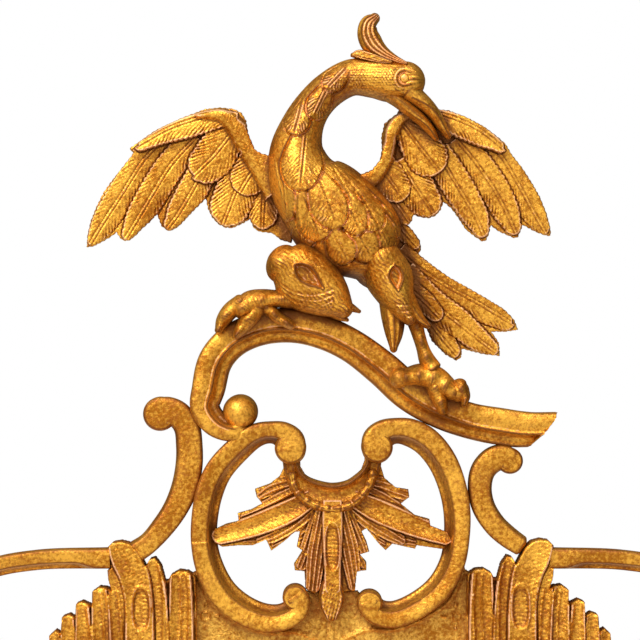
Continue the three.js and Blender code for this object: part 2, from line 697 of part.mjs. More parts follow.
// Section of the carved slip round the plate, on the front of the members
const MOULDING = [
  [0, RAIL_DEPTH], [0, RAIL_DEPTH + 0.25 * MOULDING_HEIGHT],
  [0.3 * MOULDING_WIDTH, RAIL_DEPTH + 0.45 * MOULDING_HEIGHT],
  [0.5 * MOULDING_WIDTH, RAIL_DEPTH + 0.85 * MOULDING_HEIGHT],
  [0.72 * MOULDING_WIDTH, RAIL_DEPTH + MOULDING_HEIGHT],
  [MOULDING_WIDTH, RAIL_DEPTH + 0.7 * MOULDING_HEIGHT], [MOULDING_WIDTH, RAIL_DEPTH],
];

// A member along +X under a sight edge of the given length, mitred at both ends, its sight edge on z = 0 and
// its width towards +z. Each mitre stands back by half the gap.
function mitred(section, length) {
  const half = length / 2 - JOINT_GAP / 2;
  const shape = new THREE.Shape(section.map(([across, out]) => new THREE.Vector2(across, out)));
  const geometry = new THREE.ExtrudeGeometry(shape, { depth: 1, bevelEnabled: false });
  const positions = geometry.getAttribute("position");
  for (let i = 0; i < positions.count; i += 1) {
    const [across, out, end] = [positions.getX(i), positions.getY(i), positions.getZ(i) > 0.5 ? 1 : -1];
    positions.setXYZ(i, end * (half + across), -out, across);
  }
  return toSolid(geometry);
}

// The four places of a member round the sight: [name, length, turn about the viewer's line, x, z]
const SIDES = [
  ["top", SIGHT_WIDTH, 0, 0, SIGHT_TOP],
  ["right", SIGHT_HEIGHT, 90, SIGHT_WIDTH / 2, (SIGHT_TOP + SIGHT_BOTTOM) / 2],
  ["bottom", SIGHT_WIDTH, 180, 0, SIGHT_BOTTOM],
  ["left", SIGHT_HEIGHT, 270, -SIGHT_WIDTH / 2, (SIGHT_TOP + SIGHT_BOTTOM) / 2],
];

// A member turned to its side of the frame. Quarter turns swap whole coordinates, so faces stay square.
function placed(solid, turn, x, z) {
  return solid.rotate([0, turn, 0]).translate([x, 0, z]);
}

// The screws that hold the backboard: [x, z]
const BOARD_SCREWS = [-1, 1].flatMap((side) => {
  const x = side * (SIGHT_WIDTH / 2 + (PLATE_REBATE + BOARD_REBATE) / 2);
  return [SIGHT_TOP - BOARD_SCREW_INSET, SIGHT_BOTTOM + BOARD_SCREW_INSET].map((z) => [x, z]);
});

// A screw towards the viewer from a head whose underside is at the given out
function screw(x, z, out) {
  const head = SCREW_HEAD_RADIUS;
  return button(x, z, [
    [0, out - SCREW_HEAD_HEIGHT], [0.6 * head, out - SCREW_HEAD_HEIGHT],
    [head, out - 0.3 * SCREW_HEAD_HEIGHT],
    [head, out], [SCREW_RADIUS, out], [SCREW_RADIUS, out + SCREW_LENGTH - SCREW_POINT],
    [0, out + SCREW_LENGTH],
  ], 8);
}

// The hole that a screw leaves, open at the back
function screwHole(x, z, out) {
  const bore = SCREW_RADIUS + JOINT_GAP;
  return button(x, z, [
    [0, out - 10], [bore, out - 10], [bore, out + SCREW_LENGTH - SCREW_POINT + JOINT_GAP],
    [0, out + SCREW_LENGTH + JOINT_GAP],
  ], 8);
}

// The hangers, in the middle of the stiles' backs: the strap's top and foot, its screw and the hinge line
const HANGER_X = SIGHT_WIDTH / 2 + (BOARD_REBATE + RAIL_WIDTH) / 2;
const STRAP_TOP = SIGHT_TOP - STRAP_DROP;
const STRAP_FOOT = STRAP_TOP - STRAP_LENGTH;
const HANGER_SCREW_Z = STRAP_TOP - STRAP_SCREW_DROP;
const KNUCKLE_Z = STRAP_FOOT + KNUCKLE_RADIUS;

function mirrorPlate() {
  const half = SIGHT_WIDTH / 2 + PLATE_REBATE - PLATE_PLAY;
  const [low, high] = [SIGHT_BOTTOM - PLATE_REBATE + PLATE_PLAY, SIGHT_TOP + PLATE_REBATE - PLATE_PLAY];
  return box(-half, half, -LIP_BACK, -BOARD_FRONT, low, high);
}

function backboard() {
  const half = SIGHT_WIDTH / 2 + BOARD_REBATE - BOARD_PLAY;
  const [low, high] = [SIGHT_BOTTOM - BOARD_REBATE + BOARD_PLAY, SIGHT_TOP + BOARD_REBATE - BOARD_PLAY];
  const board = box(-half, half, -BOARD_FRONT, -BOARD_BACK, low, high);
  return cut(board, BOARD_SCREWS.map(([x, z]) => screwHole(x, z, BOARD_BACK)));
}

function batten(side) {
  const x = side * BATTEN_OFFSET;
  const half = BATTEN_WIDTH / 2;
  return box(x - half, x + half, 0, BATTEN_THICKNESS, BOARD_REBATE + SIGHT_TOP + 2, FRAME_TOP + BATTEN_RISE);
}

// ---------------------------------------------------------------------------------------------
// Scrolls and leaves round the frame: x is measured from the axis on the given side
// ---------------------------------------------------------------------------------------------

const BAR_HALF = SIDE_BAR / 2;
const SHOULDER_EYE = 12;
const SIDE_EYE = 11;
const SMALL_EYE = 10;
const frameBlock = box(-FRAME_HALF, FRAME_HALF, -CLEAR, CLEAR, FRAME_BOTTOM, FRAME_TOP);

// Stations given as [x, z] or [x, z, half width] for the right side, on the side asked for
function sided(side, back, front, rows) {
  return rows.map(([x, z, half = BAR_HALF]) => [side * x, z, half, back, front]);
}

function sideBall(side, x, z, radius) {
  return ball([side * x, z, radius, SCROLL_BACK, SIDE_FRONT + 2]);
}

// Leaves the shoulder as a level bar, turns down past the frame's corner and ends in a ball on the stile
function shoulderScroll(side) {
  const [startX, startZ] = at(DRAWN_AXIS + 220, 558);
  const half = 10 * UNIT;
  const eyeX = FRAME_HALF + SHOULDER_EYE - 1;
  const eyeZ = FRAME_TOP - SHOULDER_DROP;
  const rows = [
    [startX, startZ, half], [startX + 0.45 * (FRAME_HALF - startX), startZ - 1, half],
    [FRAME_HALF - 28, startZ - 8, half], [FRAME_HALF - 2, startZ - 22, half],
    [FRAME_HALF + 16, startZ - 40, half],
    [FRAME_HALF + 28, FRAME_TOP + 16, half], [FRAME_HALF + 32, FRAME_TOP - 10],
    [FRAME_HALF + 29, eyeZ + 14], [FRAME_HALF + 20, eyeZ + 12, 6], [FRAME_HALF + 12, eyeZ + 12, 5],
  ];
  const bar = loft(sided(side, SCROLL_BACK, SIDE_FRONT, rows), BAR, { flip: -side });
  return join(bar, sideBall(side, eyeX, eyeZ, SHOULDER_EYE));
}

// A C-scroll with its back on the stile, open outwards, between two heights
function sideScroll(side, top, bottom) {
  const near = FRAME_HALF + BAR_HALF - 1;
  const far = FRAME_HALF + 34;
  const rows = [
    [far - 2, top - 4, 5], [far - 11, top - 5, 6], [far - 20, top - 12], [near + 2, top - 28],
    [near, top - 52], [near, (top + bottom) / 2], [near, bottom + 50], [near + 2, bottom + 28],
    [far - 20, bottom + 12], [far - 11, bottom + 5, 6], [far - 2, bottom + 4, 5],
  ];
  const bar = loft(sided(side, SCROLL_BACK, SIDE_FRONT, rows), BAR, { flip: side });
  return join(
    bar,
    sideBall(side, far, top - 4 - SIDE_EYE, SIDE_EYE),
    sideBall(side, far, bottom + 4 + SMALL_EYE, SMALL_EYE),
  );
}

// Three petals that spring from the stile between two scrolls
function sideLeaf(side, z) {
  const root = FRAME_HALF + 4;
  const reach = 0.5 * SIDE_LEAF_LENGTH;
  const petals = [
    [[root, z, 12], [root + 18, z, 11], [root + 36, z, 5]],
    [[root, z + 6, 9], [root + 12, z + 0.55 * reach, 8], [root + 22, z + 0.86 * reach, 4]],
    [[root, z - 6, 9], [root + 12, z - 0.55 * reach, 8], [root + 22, z - 0.86 * reach, 4]],
  ];
  return join(petals.map((rows) => loft(sided(side, SCROLL_BACK, SIDE_FRONT, rows), PETAL)));
}

// Runs down the stile, round the frame's lower corner and in under the bottom rail, with a ball at each end
function cornerScroll(side) {
  const near = FRAME_HALF + BAR_HALF - 1;
  const far = FRAME_HALF + 34;
  const under = FRAME_BOTTOM - BAR_HALF + 1;
  const top = FRAME_BOTTOM + CORNER_RISE;
  const inner = FRAME_HALF - CORNER_RUN;
  const rows = [
    [far - 4, top - 4, 5], [far - 18, top - 9, 6], [near + 2, top - 28], [near + 1, top - 60],
    [near + 4, FRAME_BOTTOM + 14], [near, FRAME_BOTTOM - 10], [FRAME_HALF - 14, under - 5],
    [FRAME_HALF - 46, under - 1], [inner + 44, under], [inner + 18, under - 5], [inner + 5, under - 16, 6],
  ];
  const bar = loft(sided(side, SCROLL_BACK, SIDE_FRONT, rows), BAR, { flip: side });
  return join(
    bar,
    sideBall(side, far, top - 4 - SIDE_EYE, SIDE_EYE),
    sideBall(side, inner + 14, under - 24, SIDE_EYE),
  );
}

// A shell of petals that fan down from the middle of the bottom rail
function apronShell() {
  const hub = FRAME_BOTTOM - 4;
  const spread = THREE.MathUtils.degToRad(132);
  const petals = Array.from({ length: APRON_PETALS }, (_, i) => {
    const angle = spread * (i / (APRON_PETALS - 1) - 0.5);
    const length = APRON_LENGTH * (0.66 + 0.34 * Math.cos(angle));
    const along = (share) => [Math.sin(angle) * length * share, hub - Math.cos(angle) * length * share];
    return loft([
      [...along(0.05), 9, SPRAY_BACK, SPRAY_FRONT], [...along(0.45), 12, SPRAY_BACK, SPRAY_FRONT],
      [...along(0.78), 13, SPRAY_BACK, SPRAY_FRONT], [...along(0.93), 7, SPRAY_BACK, SPRAY_FRONT],
    ], PETAL);
  });
  const crown = ball([0, hub - 12, 20, SPRAY_BACK, SPRAY_FRONT + 5]);
  return join(petals, crown);
}

// ---------------------------------------------------------------------------------------------
// Candle arms
// ---------------------------------------------------------------------------------------------

const BRACKET_X = FRAME_HALF - BRACKET_INSET;
const BRACKET_Z = FRAME_BOTTOM + BRACKET_RISE;
const EYE_OUT = RAIL_DEPTH + BRACKET_REACH;
const NECK_RADIUS = 5.5;
const HUB_RADIUS = 7.5;
const HUB_HEIGHT = 16;
const PAN_FLOOR = 4;

// A rosette on the frame, and a neck to an upright eye that takes the arm's pin. Its z = 0 is the eye's top.
function candleBracket(side) {
  const x = side * BRACKET_X;
  const middle = -EYE_HEIGHT / 2;
  const rosette = button(x, middle, [
    [0, RAIL_DEPTH], [ROSETTE_RADIUS, RAIL_DEPTH], [ROSETTE_RADIUS, RAIL_DEPTH + 0.4 * ROSETTE_THICKNESS],
    [0.75 * ROSETTE_RADIUS, RAIL_DEPTH + 0.8 * ROSETTE_THICKNESS],
    [NECK_RADIUS + 2, RAIL_DEPTH + ROSETTE_THICKNESS],
    [NECK_RADIUS, RAIL_DEPTH + ROSETTE_THICKNESS + 4], [NECK_RADIUS, EYE_OUT], [0, EYE_OUT],
  ], 12);
  const eye = turned([
    [0, -EYE_HEIGHT], [EYE_RADIUS - 1, -EYE_HEIGHT], [EYE_RADIUS, -EYE_HEIGHT + 2], [EYE_RADIUS, -2],
    [EYE_RADIUS - 1, 0], [0, 0],
  ], 12).translate([x, -EYE_OUT, 0]);
  const bore = turned([
    [0, -EYE_HEIGHT - 5], [PIN_RADIUS + PIN_PLAY, -EYE_HEIGHT - 5], [PIN_RADIUS + PIN_PLAY, 5], [0, 5],
  ], 12).translate([x, -EYE_OUT, 0]);
  return join(rosette, eye).subtract(bore).translate([0, 0, BRACKET_Z]);
}

// The arm in its own frame: the pin's axis is the vertical through the origin, the eye's top is z = 0, and the
// arm runs out along +X
function candleArm() {
  const seat = PIN_PLAY;
  const pin = turned([
    [0, -EYE_HEIGHT - 3], [PIN_RADIUS - 0.8, -EYE_HEIGHT - 3], [PIN_RADIUS, -EYE_HEIGHT - 1],
    [PIN_RADIUS, HUB_HEIGHT / 2], [0, HUB_HEIGHT / 2],
  ], 12);
  const hub = turned([
    [0, seat], [HUB_RADIUS, seat], [HUB_RADIUS, 0.7 * HUB_HEIGHT], [0.6 * HUB_RADIUS, HUB_HEIGHT],
    [0, HUB_HEIGHT + 3],
  ], 12);
  const rise = ARM_RISE;
  const rows = [
    [0, 9, 5], [14, 8, 5.5], [0.23 * ARM_REACH, -7, 5.6], [0.43 * ARM_REACH, -24, 5.2],
    [0.67 * ARM_REACH, -25, 4.8], [0.87 * ARM_REACH, -6, 4.6], [0.975 * ARM_REACH, 0.45 * rise, 4.4],
    [ARM_REACH, rise - 4, 4.4],
  ];
  const stem = loft(rows.map(([x, z, r]) => [x, z, r, -r, r]), round(8), { rounded: false });
  const cap = turned([[0, rise - 8], [6, rise - 8], [9, rise], [0, rise]], 12).translate([ARM_REACH, 0, 0]);
  return join(pin, hub, stem, cap);
}

// The drip pan, on its own axis, with z = 0 at the arm's top: a shallow dish with a spigot in its middle
function dripPan() {
  const low = JOINT_GAP;
  const floor = low + PAN_FLOOR;
  const seat = NOZZLE_RADIUS - 1;
  return turned([
    [0, low], [9, low], [0.55 * PAN_RADIUS, low + 1], [0.85 * PAN_RADIUS, low + 4], [PAN_RADIUS, low + 9],
    [PAN_RADIUS - 2, low + 10], [0.82 * PAN_RADIUS, floor + 2.5], [seat, floor], [SPIGOT_RADIUS, floor],
    [SPIGOT_RADIUS, floor + SPIGOT_HEIGHT], [0, floor + SPIGOT_HEIGHT],
  ], 16);
}

// The nozzle that holds the candle: it drops over the pan's spigot, and lifts off
function nozzle() {
  const foot = PAN_FLOOR + 2 * JOINT_GAP;
  const top = foot + NOZZLE_HEIGHT;
  const socket = SPIGOT_RADIUS + JOINT_GAP;
  const outside = [
    [socket, foot], [NOZZLE_RADIUS - 1.5, foot], [NOZZLE_RADIUS - 1.5, foot + 4],
    [0.6 * NOZZLE_RADIUS, foot + 9],
    [NOZZLE_RADIUS - 1.5, foot + 15], [NOZZLE_RADIUS, foot + 26], [NOZZLE_RADIUS - 0.8, top - 6],
    [NOZZLE_RADIUS + 2.5, top - 2.5], [NOZZLE_RADIUS + 2.5, top],
  ];
  return turned([
    [0, foot + SPIGOT_HEIGHT + JOINT_GAP], [socket, foot + SPIGOT_HEIGHT + JOINT_GAP], ...outside,
    [CANDLE_BORE, top], [CANDLE_BORE, top - CANDLE_DEPTH], [0, top - CANDLE_DEPTH],
  ], 16);
}

// ---------------------------------------------------------------------------------------------
// Hangers
// ---------------------------------------------------------------------------------------------

const KNUCKLE_OUT = -(STRAP_THICKNESS / 2 + 0.6 * KNUCKLE_RADIUS + 1);

// A strap on the back of a stile, folded round the loop's wire at its lower end
function hangerStrap(side) {
  const x = side * HANGER_X;
  const half = STRAP_WIDTH / 2;
  const strap = box(x - half, x + half, 0, STRAP_THICKNESS, KNUCKLE_Z, STRAP_TOP);
  const across = (radius, length) => {
    const profile = [[0, -length / 2], [radius, -length / 2], [radius, length / 2], [0, length / 2]];
    return turned(profile, 16).rotate([0, 90, 0]).translate([x, -KNUCKLE_OUT, KNUCKLE_Z]);
  };
  const knuckle = across(KNUCKLE_RADIUS, STRAP_WIDTH - 2);
  const [left, right] = [x - STRAP_WIDTH, x + STRAP_WIDTH];
  const inStile = box(left, right, -2 * KNUCKLE_RADIUS, 0, STRAP_FOOT - STRAP_WIDTH, STRAP_TOP);
  const eye = across(WIRE_RADIUS + WIRE_PLAY, 2 * STRAP_WIDTH);
  const folded = join(strap, knuckle).subtract(inStile).subtract(eye);
  return cut(folded, screwHole(x, HANGER_SCREW_Z, -STRAP_THICKNESS));
}

// A loop of wire like a D, its straight side in the strap's knuckle, hanging down
function hangerRing(side) {
  const x = side * HANGER_X;
  const top = KNUCKLE_Z;
  const half = LOOP_WIDTH / 2;
  const points = [
    [-0.42 * LOOP_WIDTH, top], [0, top], [0.42 * LOOP_WIDTH, top], [half, top - 2.5],
    [half, top - 0.5 * LOOP_LENGTH], [0.36 * LOOP_WIDTH, top - 0.85 * LOOP_LENGTH], [0, top - LOOP_LENGTH],
    [-0.36 * LOOP_WIDTH, top - 0.85 * LOOP_LENGTH], [-half, top - 0.5 * LOOP_LENGTH], [-half, top - 2.5],
  ];
  return wireLoop(points.map(([px, pz]) => [x + px, pz]), WIRE_RADIUS, KNUCKLE_OUT);
}

// ---------------------------------------------------------------------------------------------
// The assembly
// ---------------------------------------------------------------------------------------------

const group = new THREE.Group();

function add(name, solid, finish, parent = group) {
  const mesh = new THREE.Mesh(toGeometry(solid), new THREE.MeshStandardMaterial(finish));
  mesh.name = name;
  parent.add(mesh);
}

// Crest
const neckCut = swanNeck(JOINT_GAP);
const ringCuts = [ringLeft(JOINT_GAP), ringRight(JOINT_GAP)];
const shoulderCuts = [shoulderLeft(JOINT_GAP), shoulderRight(JOINT_GAP)];
const sprayCut = shellSpray(JOINT_GAP);
add("swan_neck_scroll", swanNeck(), GILT);
add("ring_scroll_left", cut(ringLeft(), neckCut, belowCrest), GILT);
add("ring_scroll_right", cut(ringRight(), neckCut, belowCrest), GILT);
add("flank_scroll_left", cut(flankLeft(), neckCut, ringCuts, shoulderCuts, belowCrest), GILT);
add("flank_scroll_right", cut(flankRight(), neckCut, ringCuts, shoulderCuts, belowCrest), GILT);
add("shell_spray", cut(shellSpray(), ringCuts, belowCrest), GILT_DEEP);
add("pendant_leaf", cut(pendantLeaf(), ringCuts, sprayCut, belowCrest), GILT_DEEP);
add("crest_panel", cut(crestPanel(), ringCuts, shoulderCuts, sprayCut, belowCrest), GILT_PALE);
add("shoulder_shell_left", cut(shoulderLeft(), ringCuts, belowCrest), GILT_PALE);
add("shoulder_shell_right", cut(shoulderRight(), ringCuts, belowCrest), GILT_PALE);

// Bird
const bodyCut = birdBody(JOINT_GAP);
const legCuts = [legLeft(JOINT_GAP), legRight(JOINT_GAP)];
add("bird_body", cut(birdBody(), legCuts, neckCut), GILT);
add("bird_comb", cut(birdComb(), bodyCut), GILT_PALE);
add("wing_left", cut(wingLeft(), bodyCut), GILT);
add("wing_right", cut(wingRight(), bodyCut), GILT);
add("tail", cut(tail(), bodyCut, legCuts), GILT);
add("leg_left", cut(legLeft(), neckCut), GILT_DEEP);
add("leg_right", cut(legRight(), neckCut), GILT_DEEP);

// Frame, slip round the plate, plate and backboard
const hangerHoles = [-1, 1].map((side) => screwHole(side * HANGER_X, HANGER_SCREW_Z, -STRAP_THICKNESS));
const boardHoles = BOARD_SCREWS.map(([x, z]) => screwHole(x, z, BOARD_BACK));
for (const [name, length, turn, x, z] of SIDES) {
  const upright = name === "left" || name === "right";
  const member = placed(mitred(MEMBER, length), turn, x, z);
  const holes = upright ? [hangerHoles, boardHoles] : [];
  add(upright ? `stile_${name}` : `${name}_rail`, cut(member, holes), GILT);
  add(`sight_moulding_${name}`, placed(mitred(MOULDING, length), turn, x, z), GILT_PALE);
}
add("mirror_plate", mirrorPlate(), SILVERED_GLASS);
add("backboard", backboard(), PINE);
BOARD_SCREWS.forEach(([x, z], i) => add(`backboard_screw_${i + 1}`, screw(x, z, BOARD_BACK), IRON));

// Everything that stands on both sides
const scrollTop = FRAME_TOP - SHOULDER_DROP - SHOULDER_EYE - 3;
const leafZ = scrollTop - UPPER_SCROLL_LENGTH - SIDE_LEAF_LENGTH / 2;
const lowerTop = leafZ - SIDE_LEAF_LENGTH / 2;
const lowerBottom = FRAME_BOTTOM + CORNER_RISE + 2;
for (const side of [-1, 1]) {
  const hand = side < 0 ? "left" : "right";
  add(`crest_batten_${hand}`, batten(side), PINE);
  add(`shoulder_scroll_${hand}`, cut(shoulderScroll(side), shoulderCuts, frameBlock), GILT);
  const upper = sideScroll(side, scrollTop, scrollTop - UPPER_SCROLL_LENGTH);
  add(`side_scroll_upper_${hand}`, cut(upper, frameBlock), GILT);
  add(`side_leaf_${hand}`, cut(sideLeaf(side, leafZ), frameBlock), GILT_PALE);
  add(`side_scroll_lower_${hand}`, cut(sideScroll(side, lowerTop, lowerBottom), frameBlock), GILT);
  add(`corner_scroll_${hand}`, cut(cornerScroll(side), frameBlock), GILT);
  add(`hanger_strap_${hand}`, hangerStrap(side), IRON);
  add(`hanger_screw_${hand}`, screw(side * HANGER_X, HANGER_SCREW_Z, -STRAP_THICKNESS), IRON);
  add(`hanger_ring_${hand}`, hangerRing(side), BRASS);

  add(`candle_bracket_${hand}`, candleBracket(side), BRASS);
  const swing = new THREE.Group();
  swing.position.set(side * BRACKET_X, -EYE_OUT, BRACKET_Z);
  swing.rotation.z = -Math.PI / 2 + side * ARM_TURN;
  add(`candle_arm_${hand}`, candleArm(), BRASS, swing);
  const top = new THREE.Group();
  top.position.set(ARM_REACH, 0, ARM_RISE);
  add(`drip_pan_${hand}`, dripPan(), BRASS, top);
  add(`nozzle_${hand}`, nozzle(), BRASS, top);
  swing.add(top);
  group.add(swing);
}
add("apron_shell", cut(apronShell(), frameBlock), GILT_DEEP);

export default group;
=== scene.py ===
"""The looks of a carved and gilded girandole mirror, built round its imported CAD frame.

Lengths inside the makers' classes are millimetres: x is to the viewer's right, z is up, and "out" is the
distance
from the wall towards the viewer. A point's place in the row frame is (x, -out, z) / 1000.
"""

import logging
from dataclasses import dataclass, field, replace
from enum import Enum
from typing import Callable, Optional, Sequence

import bpy
import numpy as np
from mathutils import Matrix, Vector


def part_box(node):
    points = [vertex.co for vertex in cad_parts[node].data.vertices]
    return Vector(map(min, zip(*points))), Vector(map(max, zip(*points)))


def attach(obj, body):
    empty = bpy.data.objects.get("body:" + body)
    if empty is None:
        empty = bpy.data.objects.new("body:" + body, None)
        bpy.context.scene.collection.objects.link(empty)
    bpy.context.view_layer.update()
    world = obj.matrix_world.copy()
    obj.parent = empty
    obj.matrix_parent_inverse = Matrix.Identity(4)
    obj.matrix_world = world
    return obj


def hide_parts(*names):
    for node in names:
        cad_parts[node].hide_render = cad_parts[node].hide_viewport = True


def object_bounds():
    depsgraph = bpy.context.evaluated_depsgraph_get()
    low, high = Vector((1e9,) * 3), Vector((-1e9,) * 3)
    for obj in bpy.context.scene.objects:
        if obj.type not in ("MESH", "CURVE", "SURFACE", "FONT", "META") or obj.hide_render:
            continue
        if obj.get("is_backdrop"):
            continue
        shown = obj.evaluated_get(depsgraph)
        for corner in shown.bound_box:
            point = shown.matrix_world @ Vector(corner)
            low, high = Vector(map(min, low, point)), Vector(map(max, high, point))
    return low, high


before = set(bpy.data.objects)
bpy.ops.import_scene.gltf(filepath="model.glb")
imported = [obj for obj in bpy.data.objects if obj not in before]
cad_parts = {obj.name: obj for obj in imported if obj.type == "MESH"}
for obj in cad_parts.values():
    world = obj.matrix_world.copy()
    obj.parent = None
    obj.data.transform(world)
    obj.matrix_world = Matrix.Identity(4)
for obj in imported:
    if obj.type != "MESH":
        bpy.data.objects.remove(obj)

LOG = logging.getLogger("girandole")
Array = np.ndarray
Rows = Sequence[Sequence[float]]
Detail = Callable[[Array, Array, Array, Array, Array], Array]


# ----------------------------------------------------------------------------------------------------------
# The drawing and the curves
# ----------------------------------------------------------------------------------------------------------


@dataclass(frozen=True)
class Drawing:
    """The crest's drawing: its unit in millimetres, its middle line, its foot line and the foot's height."""

    unit: float = 180.0 / 277.0
    axis: float = 330.0
    foot: float = 640.0
    foot_height: float = 52.0

    def rows(self, rows: Rows) -> Array:
        """Puts drawn rows in millimetres. The place and the half width scale; back and front already are.

        Args:
            rows: rows of x, y (downwards), and perhaps half width, back and front.

        Returns:
            The same rows with x, z and half width in millimetres.
        """
        out = np.array(rows, float)
        out[:, 0] = (out[:, 0] - self.axis) * self.unit
        out[:, 1] = self.foot_height + (self.foot - out[:, 1]) * self.unit
        if out.shape[1] > 2:
            out[:, 2] *= self.unit
        return out

    def bar(self, rows: Rows, back: float, front: float) -> Array:
        """Drawn rows of x, y and half width, all with the same back and front."""
        return deepened(self.rows(rows), back, front)


DRAWING = Drawing()


def deepened(rows: Array, back: float, front: float) -> Array:
    """Rows of x, z and half width with a back and a front added."""
    return np.column_stack([rows, np.full(len(rows), back), np.full(len(rows), front)])


def ramp(value: Array, low: float, high: float) -> Array:
    """The smooth step 3t^2 - 2t^3 from 0 at low to 1 at high."""
    t = np.clip((np.asarray(value, float) - low) / (high - low), 0.0, 1.0)
    return t * t * (3.0 - 2.0 * t)


def hand(x: Array, z: Array) -> Array:
    """The carver's hand: a slow unevenness of a few tenths of a millimetre, as a sum of four sines."""
    slow = 0.12 * np.sin(0.17 * x + 0.11 * z) + 0.08 * np.sin(0.29 * z - 0.23 * x + 1.7)
    return slow + 0.03 * np.sin(0.83 * x + 0.61 * z + 0.4) + 0.02 * np.sin(1.37 * z - 1.13 * x)


def spline(rows: Rows, samples: int, closed: bool = False) -> Array:
    """Draws a smooth line through rows, at even steps.

    Formula: a Catmull-Rom curve whose knots lie as far apart as the square root of the chord, worked out by
    Neville's three rounds of mixing, then sampled again at equal lengths of its first two columns.

    Args:
        rows: the points, of which all columns are carried along.
        samples: how many points come out.
        closed: whether the line ends where it starts.

    Returns:
        An array of samples rows.
    """
    rows = np.asarray(rows, float)
    if closed:
        p = np.vstack([rows[-1:], rows, rows[:2]])
    else:
        p = np.vstack([2 * rows[:1] - rows[1:2], rows, 2 * rows[-1:] - rows[-2:-1]])
    chord = np.sqrt(np.linalg.norm(np.diff(p[:, :2], axis=0), axis=1)) + 1e-6
    knot = np.concatenate([[0.0], np.cumsum(chord)])
    last = len(p) - 2
    t = np.linspace(knot[1], knot[last], samples * 8)
    i = np.clip(np.searchsorted(knot, t, side="right") - 1, 1, last - 1)
    k = [knot[i + d] for d in (-1, 0, 1, 2)]
    q = [p[i + d] for d in (-1, 0, 1, 2)]

    def mix(a: Array, b: Array, start: Array, end: Array) -> Array:
        """The straight mix of a at start and b at end."""
        w = ((t - start) / (end - start))[:, None]
        return a * (1 - w) + b * w

    a1, a2, a3 = (mix(q[n], q[n + 1], k[n], k[n + 1]) for n in range(3))
    dense = mix(mix(a1, a2, k[0], k[2]), mix(a2, a3, k[1], k[3]), k[1], k[2])
    run = np.concatenate([[0.0], np.cumsum(np.linalg.norm(np.diff(dense[:, :2], axis=0), axis=1))])
    at = np.linspace(0.0, run[-1], samples, endpoint=not closed)
    return np.stack([np.interp(at, run, column) for column in dense.T], axis=1)


def near(x: Array, z: Array, path: Array) -> Array:
    """The distance from each point to the nearest point of a densely sampled path."""
    flat = np.stack([np.ravel(x), np.ravel(z)], axis=1)
    best = np.full(len(flat), 1e9)
    for part in np.array_split(path[:, :2], max(1, len(path) // 40)):
        gap = flat[:, None, :] - part[None, :, :]
        best = np.minimum(best, (gap**2).sum(-1).min(1))
    return np.sqrt(best).reshape(np.shape(x))


# ----------------------------------------------------------------------------------------------------------
# Skins: closed surfaces on grids
# ----------------------------------------------------------------------------------------------------------


def bend_of(grid: Array) -> Array:
    """How strongly a closed tube of rings bends, in 1/mm, positive where it is proud.

    Formula: minus the second difference along each of the grid's two ways, taken along the surface's normal
    and divided by the square of the step.

    Args:
        grid: the tube, as rings of points.

    Returns:
        The bend at each point.
    """
    ahead = np.concatenate([grid[1:], grid[-1:]])
    behind = np.concatenate([grid[:1], grid[:-1]])
    up, down = np.roll(grid, -1, 1), np.roll(grid, 1, 1)
    normal = np.cross(ahead - behind, up - down)
    normal /= np.linalg.norm(normal, axis=-1, keepdims=True) + 1e-12
    total = np.zeros(grid.shape[:2])
    for a, b in ((ahead, behind), (up, down)):
        step = ((a - b) ** 2).sum(-1) / 4 + 0.01
        total -= ((a + b - 2 * grid) * normal).sum(-1) / step
    total[0] = total[-1] = 0.0
    return total


def spread(values: Array, rounds: int = 2) -> Array:
    """Softens values on a grid by mixing each with its four neighbours."""
    for _ in range(rounds):
        ahead = np.concatenate([values[1:], values[-1:]])
        behind = np.concatenate([values[:1], values[:-1]])
        values = 0.4 * values + 0.15 * (ahead + behind + np.roll(values, 1, 1) + np.roll(values, -1, 1))
    return values


